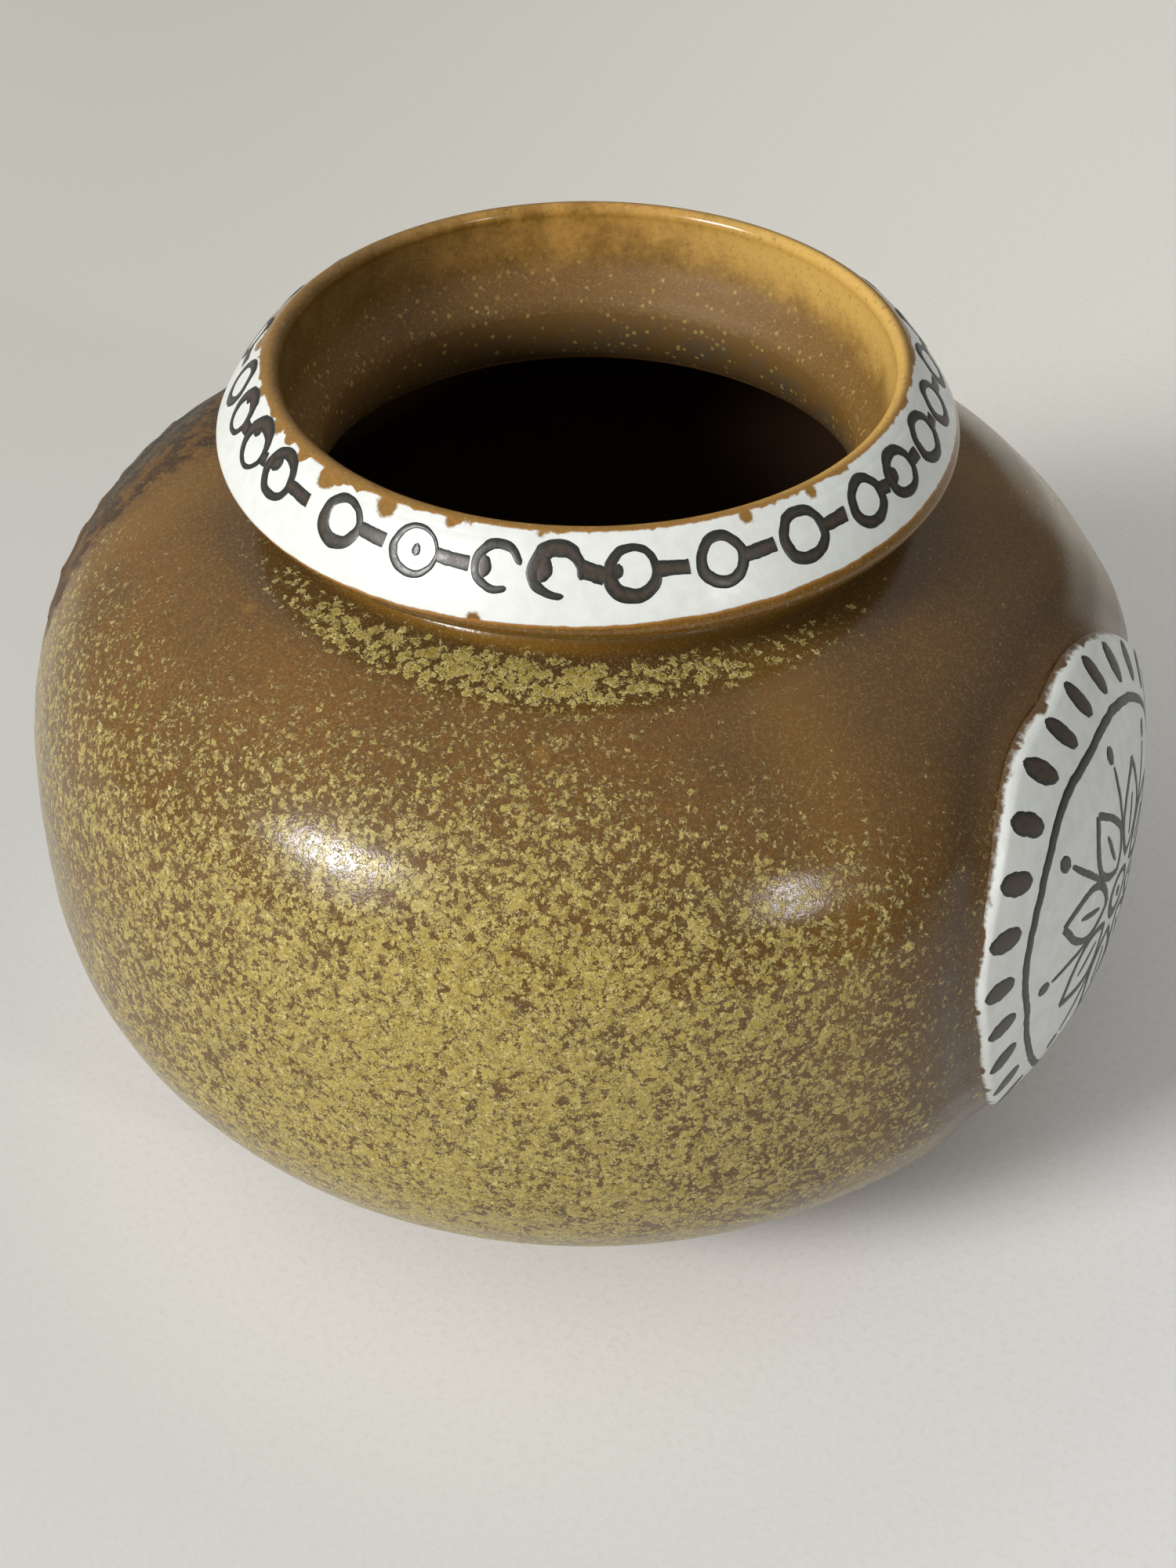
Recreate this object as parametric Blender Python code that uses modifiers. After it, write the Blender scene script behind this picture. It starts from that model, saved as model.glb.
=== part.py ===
"""A squat ceramic vase: a hollow thrown body on a turned foot ring, a flared collar luted on at the
neck, a white band laid round the collar and a round white medallion let into each side.

Metres, +Z up. The origin is on the ground at the centre of the foot, and the vase's axis is Z.
The medallions face +X and -X."""

import math

import bmesh
import bpy

MM = 0.001

# Body: a globe of two unlike halves that meet at the belly
BELLY_RADIUS = 75.0 * MM
BELLY_HEIGHT = 45.0 * MM
UPPER_RISE = 53.0 * MM
UPPER_ROUNDNESS = 2.89
UNDERSIDE_HEIGHT = 1.7 * MM
LOWER_DROP = BELLY_HEIGHT - UNDERSIDE_HEIGHT
LOWER_ROUNDNESS = 2.32
WALL = 4.6 * MM
FLOOR = 5.5 * MM

# Neck: the narrowest ring, where the collar is luted to the body
NECK_RADIUS = 38.5 * MM
NECK_HOLLOW = 2.9 * MM
THROAT_RADIUS = 33.6 * MM
THROAT_ROUND = 9.0 * MM
THROAT_DROP = 1.8 * MM
THROAT_TOP_TURN = 156.0

# Collar: the flared ring over the neck
COLLAR_RADIUS = 46.1 * MM
COLLAR_EDGE = 2.0 * MM
COLLAR_FACE_HEIGHT = 7.8 * MM
COLLAR_ROUNDNESS = 1.15
COLLAR_INSIDE = 37.5 * MM
LIP_RADIUS = 38.9 * MM
LIP_BEAD = 1.2 * MM
LIP_TURN = 40.0
LIP_INSIDE_TURN = 200.0

# White band on the collar's face
BAND_THICKNESS = 0.8 * MM
BAND_TOP_MARGIN = 1.4 * MM
BAND_BOTTOM_MARGIN = 1.2 * MM

# Medallions
MEDALLION_RADIUS = 31.5 * MM
MEDALLION_HEIGHT = 51.5 * MM
MEDALLION_PROUD = 0.6 * MM
MEDALLION_SUNK = 0.9 * MM

# Foot ring
FOOT_RADIUS = 31.0 * MM
FOOT_WIDTH = 7.0 * MM
FOOT_SEAT_HEIGHT = 4.8 * MM
FOOT_FLARE = 1.0 * MM
FOOT_EDGE = 0.8 * MM

# Fits and fineness
CLEARANCE = 0.3 * MM
CUT_MARGIN = 4.0 * MM
SIDES = 56
MEDALLION_SIDES = 48
OUTER_STEPS = 11
INNER_STEPS = 8
FACE_STEPS = 5
ARC_STEPS = 4

COLLECTION = "ceramic_vase"
CUTTERS = "cutters"


def clear_scene():
    for obj in list(bpy.data.objects):
        bpy.data.objects.remove(obj)


def new_collection(name):
    collection = bpy.data.collections.new(name)
    bpy.context.scene.collection.children.link(collection)
    return collection


def glaze(name, colour, roughness):
    material = bpy.data.materials.new(name)
    material.use_nodes = True
    shader = material.node_tree.nodes["Principled BSDF"]
    shader.inputs["Base Color"].default_value = (*colour, 1.0)
    shader.inputs["Roughness"].default_value = roughness
    shader.inputs["Metallic"].default_value = 0.0
    return material


def arc(centre, radius, start, end, steps=ARC_STEPS):
    """Points on an arc in the (r, z) plane, angles in degrees from +r towards +z."""
    points = []
    for i in range(steps + 1):
        angle = math.radians(start + (end - start) * i / steps)
        points.append((centre[0] + radius * math.cos(angle), centre[1] + radius * math.sin(angle)))
    return points


def raised(points, rise):
    return [(r, z + rise) for r, z in points]


def belly_height_at(radius, grown=0.0):
    """Height of the upper half's surface over a radius; grown moves the surface outwards."""
    share = min(radius / (BELLY_RADIUS + grown), 1.0)
    rise = UPPER_RISE + grown
    return BELLY_HEIGHT + rise * (1.0 - share**UPPER_ROUNDNESS) ** (1.0 / UPPER_ROUNDNESS)


def belly_radius_at(height, grown=0.0):
    """Radius of the belly's surface at a height, on either half."""
    upper = height >= BELLY_HEIGHT
    reach = (UPPER_RISE if upper else LOWER_DROP) + grown
    power = UPPER_ROUNDNESS if upper else LOWER_ROUNDNESS
    share = min(abs(height - BELLY_HEIGHT) / reach, 1.0)
    return (BELLY_RADIUS + grown) * (1.0 - share**power) ** (1.0 / power)


def belly_curve(top_radius, bottom_height, grown=0.0, steps=OUTER_STEPS):
    """Points down the belly, from a radius on the shoulder to a height under the belly."""
    power = UPPER_ROUNDNESS
    share = min(top_radius / (BELLY_RADIUS + grown), 1.0)
    turn = math.asin(share ** (power / 2.0))
    points = []
    for i in range(steps):
        angle = turn + (math.pi / 2.0 - turn) * i / steps
        radius = (BELLY_RADIUS + grown) * math.sin(angle) ** (2.0 / power)
        height = BELLY_HEIGHT + (UPPER_RISE + grown) * math.cos(angle) ** (2.0 / power)
        points.append((radius, height))
    power = LOWER_ROUNDNESS
    share = min((BELLY_HEIGHT - bottom_height) / (LOWER_DROP + grown), 1.0)
    turn = math.asin(share ** (power / 2.0))
    for i in range(steps + 1):
        angle = turn * i / steps
        radius = (BELLY_RADIUS + grown) * math.cos(angle) ** (2.0 / power)
        height = BELLY_HEIGHT - (LOWER_DROP + grown) * math.sin(angle) ** (2.0 / power)
        points.append((radius, height))
    return points


def shoulder_fall(radius):
    """Angle below level, in degrees, at which the shoulder falls away at a radius."""
    step = 0.05 * MM
    drop = belly_height_at(radius - step) - belly_height_at(radius + step)
    return math.degrees(math.atan2(drop, 2.0 * step))


# The neck hollow's centre stands over the shoulder at the height where its arc runs into it
HOLLOW_RADIUS = NECK_RADIUS + NECK_HOLLOW
HOLLOW_FALL = shoulder_fall(HOLLOW_RADIUS)
HOLLOW_MEET = HOLLOW_RADIUS - NECK_HOLLOW * math.sin(math.radians(HOLLOW_FALL))
NECK_HEIGHT = belly_height_at(HOLLOW_MEET) + NECK_HOLLOW * math.cos(math.radians(HOLLOW_FALL))
THROAT_CENTRE = (THROAT_RADIUS + THROAT_ROUND, NECK_HEIGHT - THROAT_DROP)
THROAT_SEAM_TURN = 180.0 - math.degrees(math.asin(THROAT_DROP / THROAT_ROUND))
COLLAR_EDGE_HEIGHT = NECK_HEIGHT + NECK_HOLLOW + COLLAR_EDGE
LIP_HEIGHT = COLLAR_EDGE_HEIGHT + COLLAR_FACE_HEIGHT
FACE_START_RADIUS = LIP_RADIUS + LIP_BEAD * math.cos(math.radians(LIP_TURN))
FACE_START_HEIGHT = LIP_HEIGHT + LIP_BEAD * math.sin(math.radians(LIP_TURN))


def collar_face(steps=9):
    """Points down the collar's outer face, from the lip to its widest ring."""
    reach = COLLAR_RADIUS - FACE_START_RADIUS
    drop = FACE_START_HEIGHT - COLLAR_EDGE_HEIGHT
    points = []
    for i in range(steps + 1):
        angle = math.pi / 2.0 * i / steps
        radius = FACE_START_RADIUS + reach * math.sin(angle) ** (2.0 / COLLAR_ROUNDNESS)
        height = COLLAR_EDGE_HEIGHT + drop * math.cos(angle) ** (2.0 / COLLAR_ROUNDNESS)
        points.append((radius, height))
    return points


def face_point(distance_down, sunk=0.0):
    """The point on the collar's face at a drop below its start, and the point sunk square below it."""
    points = collar_face()
    for (r0, z0), (r1, z1) in zip(points, points[1:]):
        if z1 <= FACE_START_HEIGHT - distance_down <= z0:
            share = (z0 - (FACE_START_HEIGHT - distance_down)) / (z0 - z1)
            length = math.hypot(r1 - r0, z1 - z0)
            inward = (z1 - z0) / length, (r0 - r1) / length
            radius = r0 + (r1 - r0) * share + inward[0] * sunk
            height = z0 + (z1 - z0) * share + inward[1] * sunk
            return radius, height
    return points[-1][0] - sunk, points[-1][1]


def face_stretch(first, last, sunk=0.0, steps=FACE_STEPS):
    """Points down the collar's face between two drops below its start."""
    return [face_point(first + (last - first) * i / steps, sunk) for i in range(steps + 1)]


def band_span():
    """The drops below the face's start at which the white band begins and ends."""
    return BAND_TOP_MARGIN, FACE_START_HEIGHT - COLLAR_EDGE_HEIGHT - BAND_BOTTOM_MARGIN


def turned(name, profile, collection, material=None, closed=True):
    """A solid of revolution about Z from (r, z) points that run down its outer side."""
    mesh = bpy.data.meshes.new(name)
    edges = [(i, i + 1) for i in range(len(profile) - 1)]
    if closed:
        edges.append((len(profile) - 1, 0))
    mesh.from_pydata([(r, 0.0, z) for r, z in profile], edges, [])
    obj = bpy.data.objects.new(name, mesh)
    collection.objects.link(obj)
    screw = obj.modifiers.new("turn", "SCREW")
    screw.axis = "Z"
    screw.angle = math.tau
    screw.steps = SIDES
    screw.render_steps = SIDES
    screw.use_merge_vertices = True
    screw.merge_threshold = 0.01 * MM
    screw.use_smooth_shade = True
    if material:
        mesh.materials.append(material)
    return obj


def side_cylinder(name, radius, inner, outer, side, collection):
    """A cylinder lying along X at medallion height, from inner to outer on one side."""
    mesh = bpy.data.meshes.new(name)
    form = bmesh.new()
    bmesh.ops.create_cone(
        form,
        cap_ends=True,
        segments=MEDALLION_SIDES,
        radius1=radius,
        radius2=radius,
        depth=outer - inner,
    )
    form.to_mesh(mesh)
    form.free()
    obj = bpy.data.objects.new(name, mesh)
    obj.rotation_euler = (0.0, math.pi / 2.0, 0.0)
    obj.location = (side * (inner + outer) / 2.0, 0.0, MEDALLION_HEIGHT)
    collection.objects.link(obj)
    return as_cutter(obj)


def as_cutter(obj):
    obj.hide_render = True
    obj.display_type = "WIRE"
    return obj


def boolean(obj, operation, other):
    modifier = obj.modifiers.new(operation.lower() + "_" + other.name, "BOOLEAN")
    modifier.operation = operation
    modifier.solver = "EXACT"
    modifier.object = other
    return modifier


def make_body(collection, material):
    """The hollow body, from its inner floor up the inside, over the cut neck and down the outside."""
    inner_bottom = FOOT_SEAT_HEIGHT + FLOOR
    inside = belly_curve(THROAT_CENTRE[0], inner_bottom, grown=-WALL, steps=INNER_STEPS)
    throat = arc(THROAT_CENTRE, THROAT_ROUND, 270.0, THROAT_SEAM_TURN)
    hollow = arc((HOLLOW_RADIUS, NECK_HEIGHT), NECK_HOLLOW, 180.0, 270.0 - HOLLOW_FALL)
    outside = belly_curve(HOLLOW_MEET, FOOT_SEAT_HEIGHT)
    profile = [(0.0, inner_bottom)]
    profile += inside[::-1]
    profile += throat
    profile += hollow
    profile += outside[1:]
    profile += [(0.0, FOOT_SEAT_HEIGHT)]
    return turned("body", profile, collection, material, closed=False)


def make_collar(collection, material):
    """The flared collar: up its inside from the neck seam, over the lip and down the banded face."""
    throat_top = arc(THROAT_CENTRE, THROAT_ROUND, THROAT_SEAM_TURN, THROAT_TOP_TURN)
    hollow_top = arc((HOLLOW_RADIUS, NECK_HEIGHT), NECK_HOLLOW, 90.0, 180.0)
    band_first, band_last = band_span()
    seat = BAND_THICKNESS + CLEARANCE
    profile = raised(throat_top, CLEARANCE)
    profile += [(COLLAR_INSIDE, COLLAR_EDGE_HEIGHT)]
    profile += arc((LIP_RADIUS, LIP_HEIGHT), LIP_BEAD, LIP_INSIDE_TURN, LIP_TURN)
    profile += [face_point(band_first - CLEARANCE)]
    profile += face_stretch(band_first - CLEARANCE, band_last + CLEARANCE, sunk=seat)
    profile += [face_point(band_last + CLEARANCE)]
    profile += arc((COLLAR_RADIUS - COLLAR_EDGE, COLLAR_EDGE_HEIGHT), COLLAR_EDGE, 0.0, -90.0)
    profile += raised(hollow_top, CLEARANCE)
    return turned("collar", profile, collection, material)


def make_band(collection, material):
    """The white band, a thin ring whose outer side is the collar's face."""
    band_first, band_last = band_span()
    outer = face_stretch(band_first, band_last)
    inner = face_stretch(band_first, band_last, sunk=BAND_THICKNESS)
    return turned("white_band", outer + inner[::-1], collection, material)


def make_foot(collection, material):
    """The foot ring, flared a little outwards, with its treading edges rounded."""
    top = FOOT_SEAT_HEIGHT - CLEARANCE
    inner = FOOT_RADIUS - FOOT_WIDTH
    outer_foot = FOOT_RADIUS - FOOT_FLARE
    profile = [(FOOT_RADIUS, top)]
    profile += arc((outer_foot - FOOT_EDGE, FOOT_EDGE), FOOT_EDGE, 0.0, -90.0, steps=3)
    profile += arc((inner + FOOT_FLARE + FOOT_EDGE, FOOT_EDGE), FOOT_EDGE, 270.0, 180.0, steps=3)
    profile += [(inner, top)]
    return turned("foot_ring", profile, collection, material)


def belly_shell(name, inner_grown, outer_grown, collection):
    """A turned shell that follows the belly round the medallions' height, between two offsets."""
    low = MEDALLION_HEIGHT - MEDALLION_RADIUS - CUT_MARGIN
    high = MEDALLION_HEIGHT + MEDALLION_RADIUS + CUT_MARGIN
    outer_top = belly_radius_at(high, outer_grown)
    inner_top = belly_radius_at(high, inner_grown)
    outer = belly_curve(outer_top, low, outer_grown)
    inner = belly_curve(inner_top, low, inner_grown)
    return turned(name, outer + inner[::-1], collection)


def make_medallion(name, side, collection, cutters, material):
    """A round medallion that follows the belly and stands a little proud of it."""
    medallion = belly_shell(name, CLEARANCE - MEDALLION_SUNK, MEDALLION_PROUD, collection)
    medallion.data.materials.append(material)
    reach = BELLY_RADIUS + CUT_MARGIN
    outline = side_cylinder(name + "_outline", MEDALLION_RADIUS, reach / 2.0, reach, side, cutters)
    boolean(medallion, "INTERSECT", outline)
    return medallion


def cut_seat(body, name, side, cutters):
    """Sinks a seat for a medallion into the body's outer wall."""
    seat = as_cutter(belly_shell(name, -MEDALLION_SUNK, CUT_MARGIN, cutters))
    reach = BELLY_RADIUS + CUT_MARGIN
    radius = MEDALLION_RADIUS + CLEARANCE
    outline = side_cylinder(name + "_outline", radius, reach / 2.0, 1.5 * reach, side, cutters)
    boolean(seat, "INTERSECT", outline)
    boolean(body, "DIFFERENCE", seat)


def main():
    clear_scene()
    parts = new_collection(COLLECTION)
    cutters = new_collection(CUTTERS)
    brown = glaze("crystal_brown_glaze", (0.16, 0.085, 0.03), 0.33)
    ochre = glaze("ochre_glaze", (0.27, 0.15, 0.04), 0.3)
    white = glaze("satin_white_glaze", (0.82, 0.84, 0.84), 0.35)
    clay = glaze("bare_stoneware", (0.30, 0.20, 0.13), 0.85)

    body = make_body(parts, brown)
    make_collar(parts, ochre)
    make_band(parts, white)
    make_foot(parts, clay)
    for side, name in ((1.0, "medallion_right"), (-1.0, "medallion_left")):
        make_medallion(name, side, parts, cutters, white)
        cut_seat(body, "seat_" + name, side, cutters)


main()
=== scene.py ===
from math import asin, atan2, cos, degrees, pi, radians, sin, tau

import bmesh
import bpy
import numpy as np
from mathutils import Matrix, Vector


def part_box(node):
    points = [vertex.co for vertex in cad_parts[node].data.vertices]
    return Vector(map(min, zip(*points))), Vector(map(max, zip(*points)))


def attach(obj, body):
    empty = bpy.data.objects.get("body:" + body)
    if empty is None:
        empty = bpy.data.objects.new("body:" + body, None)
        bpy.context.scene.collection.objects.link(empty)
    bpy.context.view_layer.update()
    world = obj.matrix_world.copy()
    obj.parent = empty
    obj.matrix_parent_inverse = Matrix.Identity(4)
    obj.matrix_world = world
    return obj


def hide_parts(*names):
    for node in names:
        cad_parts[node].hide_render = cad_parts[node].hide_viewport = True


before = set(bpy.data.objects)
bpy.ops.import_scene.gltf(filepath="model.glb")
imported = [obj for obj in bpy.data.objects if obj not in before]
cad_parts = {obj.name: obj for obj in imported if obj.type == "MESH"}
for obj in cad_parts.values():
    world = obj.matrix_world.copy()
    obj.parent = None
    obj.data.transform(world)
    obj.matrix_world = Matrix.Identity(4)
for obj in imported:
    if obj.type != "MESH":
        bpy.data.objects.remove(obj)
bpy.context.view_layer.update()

mm = 0.001
print("vase: frame loaded")


def around(radius, turn, height=0.0):  # a place at a turn about the axis, in degrees from +X
    return (radius * cos(radians(turn)), radius * sin(radians(turn)), height)


def newObject(name, data):
    thing = bpy.data.objects.new(name, data)
    bpy.context.scene.collection.objects.link(thing)
    return thing


def newMesh(name, points, edges, faces):
    mesh = bpy.data.meshes.new(name)
    mesh.from_pydata(points, edges, faces)
    return mesh


def shadeSmooth(mesh, sharpFrom):
    mesh.polygons.foreach_set("use_smooth", [True] * len(mesh.polygons))
    mesh.set_sharp_from_angle(angle=radians(sharpFrom))


# Camera: where the photograph was taken from, with the vase's axis on the picture's middle line
view = {
    "turn": 26.0,  # degrees round from the vase's front
    "away": 254.0 * mm,  # level distance from the axis
    "height": 257.85 * mm,
    "down": 40.47,  # degrees below level
    "lens": 54.0,
    "film": 36.0,  # the tall side
}


def makeCamera():
    data = bpy.data.cameras.new("photoCamera")
    data.sensor_fit = "VERTICAL"
    data.sensor_height = view["film"]
    data.sensor_width = view["film"]
    data.lens = view["lens"]
    data.clip_start = 0.01
    camera = newObject("photoCamera", data)
    camera.location = around(view["away"], view["turn"] - 90.0, view["height"])
    camera.rotation_euler = (radians(90.0 - view["down"]), 0.0, radians(view["turn"]))
    bpy.context.scene.camera = camera


makeCamera()
bpy.context.scene.view_settings.view_transform = "Standard"


# Node graphs, for finishes and for geometry
class Wire:
    # a socket that can stand in sums
    def __init__(self, graph, socket):
        self.graph = graph
        self.socket = socket

    def also(self, name):  # another output of the same node
        return Wire(self.graph, self.socket.node.outputs[name])

    def __add__(self, other):
        return self.graph.maths("ADD", self, other)

    __radd__ = __add__

    def __sub__(self, other):
        return self.graph.maths("SUBTRACT", self, other)

    def __rsub__(self, other):
        return self.graph.maths("SUBTRACT", other, self)

    def __mul__(self, other):
        return self.graph.maths("MULTIPLY", self, other)

    __rmul__ = __mul__

    def __truediv__(self, other):
        return self.graph.maths("DIVIDE", self, other)

    def __rtruediv__(self, other):
        return self.graph.maths("DIVIDE", other, self)

    def __neg__(self):
        return self.graph.maths("MULTIPLY", self, -1.0)


class Graph:
    def __init__(self, tree):
        self.tree = tree
        tree.nodes.clear()

    def node(self, kind, settings=None, inputs=None, out=0):
        made = self.tree.nodes.new(kind)
        for key, value in (settings or {}).items():
            if key == "stops":
                self.setStops(made.color_ramp, value)
            else:
                setattr(made, key, value)
        for key, value in (inputs or {}).items():
            if isinstance(value, Wire):
                self.tree.links.new(value.socket, made.inputs[key])
            else:
                made.inputs[key].default_value = value
        return Wire(self, made.outputs[out]) if made.outputs else made

    def setStops(self, band, stops):
        while len(band.elements) < len(stops):
            band.elements.new(1.0)
        for element, (place, colour) in zip(band.elements, stops):
            element.position = place
            element.color = colour

    def maths(self, operation, a, b=0.0):
        return self.node("ShaderNodeMath", {"operation": operation}, {0: a, 1: b})

    def vector(self, operation, a, b=(0.0, 0.0, 0.0), out=0):
        return self.node("ShaderNodeVectorMath", {"operation": operation}, {0: a, 1: b}, out)

    def scaled(self, a, by):
        return self.node("ShaderNodeVectorMath", {"operation": "SCALE"}, {0: a, "Scale": by})

    def dot(self, a, b):
        return self.vector("DOT_PRODUCT", a, b, "Value")

    def length(self, a):
        return self.vector("LENGTH", a, out="Value")

    def combine(self, x, y, z):
        return self.node("ShaderNodeCombineXYZ", inputs={0: x, 1: y, 2: z})

    def split(self, a):
        parts = self.node("ShaderNodeSeparateXYZ", inputs={0: a})
        return parts, parts.also("Y"), parts.also("Z")

    def ease(self, value, low, high, start=0.0, end=1.0):  # a smooth step from low to high
        return self.node(
            "ShaderNodeMapRange",
            {"interpolation_type": "SMOOTHSTEP"},
            {"Value": value, "From Min": low, "From Max": high, "To Min": start, "To Max": end},
        )

    def hump(self, value, middle, width):  # 1 at the middle, 0 at a width to either side
        return self.ease(self.maths("ABSOLUTE", value - middle), width, 0.0)

    def blend(self, share, a, b):
        settings = {"data_type": "FLOAT", "clamp_factor": True}
        return self.node("ShaderNodeMix", settings, {0: share, 2: a, 3: b}, 0)

    def tint(self, share, a, b):  # the ends are wires or the names of colours
        settings = {"data_type": "RGBA", "clamp_factor": True}
        a, b = colours.get(a, a), colours.get(b, b)
        return self.node("ShaderNodeMix", settings, {0: share, 6: a, 7: b}, 2)

    def coats(self, colour, *laid):  # a colour under others, each with the share that it hides
        for share, coat in laid:
            colour = self.tint(share, colour, coat)
        return colour


class Finish(Graph):
    def __init__(self, name):
        self.material = bpy.data.materials.new(name)
        self.material.use_nodes = True
        super().__init__(self.material.node_tree)
        self.place = self.node("ShaderNodeTexCoord", out="Object")
        self.x, self.y, self.z = self.split(self.place)

    def noise(self, scale, detail=2.0, rough=0.5, warp=0.0, place=None):
        inputs = {"Scale": scale, "Detail": detail, "Roughness": rough, "Distortion": warp}
        inputs["Vector"] = place or self.place
        return self.node("ShaderNodeTexNoise", inputs=inputs)

    def cells(self, scale, place=None):
        return self.node("ShaderNodeTexVoronoi", inputs={"Vector": place or self.place, "Scale": scale})

    def attribute(self, name):
        return self.node("ShaderNodeAttribute", {"attribute_name": name}, out="Fac")

    def spot(self, centre, radius, soft):  # 1 inside a ball round a place on the surface
        away = self.vector("DISTANCE", self.place, centre, "Value")
        return self.ease(away, radius + soft / 2.0, radius - soft / 2.0)

    def relief(self, height, depth, strength):
        inputs = {"Height": height, "Distance": depth, "Strength": strength}
        return self.node("ShaderNodeBump", inputs=inputs)

    def close(self, colour, roughness, normal, fixed=None):
        inputs = {"Base Color": colour, "Roughness": roughness, "Normal": normal}
        inputs.update(fixed or {})
        shader = self.node("ShaderNodeBsdfPrincipled", inputs=inputs)
        self.node("ShaderNodeOutputMaterial", inputs={"Surface": shader})
        return self.material


def paint(red, green, blue):
    # a colour read as 0 to 255 screen values, as the shaders take it
    shares = [value / 255.0 for value in (red, green, blue)]
    return tuple(s / 12.92 if s <= 0.04045 else ((s + 0.055) / 1.055) ** 2.4 for s in shares) + (1.0,)


# The body's lines, in the plane of radius and height
body = {
    "bellyRadius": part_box("body")[1].y,
    "bellyHeight": 45.0 * mm,
    "upperRise": 53.0 * mm,
    "upperRoundness": 2.89,
    "underside": 1.7 * mm,
    "lowerRoundness": 2.32,
    "wall": 4.6 * mm,
    "seat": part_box("body")[0].z,
    "floor": 5.5 * mm,
    "sides": 380,
    "outerStep": 0.95 * mm,
    "innerStep": 3.0 * mm,
}
neck = {
    "radius": 38.5 * mm,
    "hollow": 2.9 * mm,
    "throat": 33.6 * mm,
    "throatRound": 9.0 * mm,
    "throatDrop": 1.8 * mm,
    "throatTop": 156.0,
    "step": 0.35 * mm,
    "seamStep": 0.05 * mm,  # a close row beside the seam keeps the glaze smooth across it
}


def bellyHeightAt(radius, grown=0.0):
    power = body["upperRoundness"]
    share = min(radius / (body["bellyRadius"] + grown), 1.0)
    return body["bellyHeight"] + (body["upperRise"] + grown) * (1.0 - share**power) ** (1.0 / power)


def bellyRadiusAt(height, grown=0.0):
    upper = height >= body["bellyHeight"]
    reach = body["upperRise"] if upper else body["bellyHeight"] - body["underside"]
    power = body["upperRoundness"] if upper else body["lowerRoundness"]
    share = min(abs(height - body["bellyHeight"]) / (reach + grown), 1.0)
    return (body["bellyRadius"] + grown) * (1.0 - share**power) ** (1.0 / power)


def bellyLine(topRadius, bottomHeight, grown=0.0, steps=160):
    # points down the belly, from a radius on the shoulder to a height on the underside
    wide = body["bellyRadius"] + grown
    points = []
    power = body["upperRoundness"]
    start = asin((topRadius / wide) ** (power / 2.0))
    for i in range(steps):
        angle = start + (pi / 2.0 - start) * i / steps
        height = body["bellyHeight"] + (body["upperRise"] + grown) * cos(angle) ** (2.0 / power)
        points.append((wide * sin(angle) ** (2.0 / power), height))
    power = body["lowerRoundness"]
    drop = body["bellyHeight"] - body["underside"] + grown
    end = asin(((body["bellyHeight"] - bottomHeight) / drop) ** (power / 2.0))
    for i in range(steps + 1):
        angle = end * i / steps
        height = body["bellyHeight"] - drop * sin(angle) ** (2.0 / power)
        points.append((wide * cos(angle) ** (2.0 / power), height))
    return points


def arc(centre, radius, start, end, steps=40):
    angles = [radians(start + (end - start) * i / steps) for i in range(steps + 1)]
    return [(centre[0] + radius * cos(a), centre[1] + radius * sin(a)) for a in angles]


def shoulderFall(radius):
    step = 0.05 * mm
    return degrees(atan2(bellyHeightAt(radius - step) - bellyHeightAt(radius + step), 2.0 * step))


def neckLines():
    # where the hollow under the collar runs into the shoulder, and the height of its narrowest ring
    hollow = neck["radius"] + neck["hollow"]
    fall = shoulderFall(hollow)
    meet = hollow - neck["hollow"] * sin(radians(fall))
    seam = bellyHeightAt(meet) + neck["hollow"] * cos(radians(fall))
    throat = (neck["throat"] + neck["throatRound"], seam - neck["throatDrop"])
    throatSeam = 180.0 - degrees(asin(neck["throatDrop"] / neck["throatRound"]))
    found = {"hollow": hollow, "fall": fall, "meet": meet, "seam": seam}
    return dict(found, throat=throat, throatSeam=throatSeam)


lines = neckLines()


def travelled(line):  # how far down a line each of its points lies
    return np.concatenate([[0.0], np.cumsum(np.hypot(*np.diff(line, axis=0).T))])


def between(at, down, line):  # a line's values at other distances down it
    return np.column_stack([np.interp(at, down, values) for values in line.T])


def evenly(points, step, seam=None):
    # the same line with points at even distances, and one close to the seam at its start or end
    line = np.array(points)
    down = travelled(line)
    at = np.linspace(0.0, down[-1], max(2, int(round(down[-1] / step)) + 1))
    if seam == "start":
        at = np.insert(at, 1, neck["seamStep"])
    if seam == "end":
        at = np.insert(at, -1, down[-1] - neck["seamStep"])
    return between(at, down, line)


def joined(*stretches):
    return np.vstack([stretches[0]] + [stretch[1:] for stretch in stretches[1:]])


def measured(line, zero):
    # adds to each point its distance down the line from the point numbered zero
    down = travelled(line)
    return np.column_stack([line, down - down[zero]])


def outward(line, closed):
    # the way out of the surface at each point of a line that runs down its outer side
    ahead = np.roll(line, -1, axis=0)[:, :2]
    behind = np.roll(line, 1, axis=0)[:, :2]
    if not closed:
        ahead[-1], behind[0] = line[-1, :2], line[0, :2]
    along = ahead - behind
    along /= np.maximum(np.hypot(*along.T), 1e-12)[:, None]
    return np.column_stack([-along[:, 1], along[:, 0]])


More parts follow.
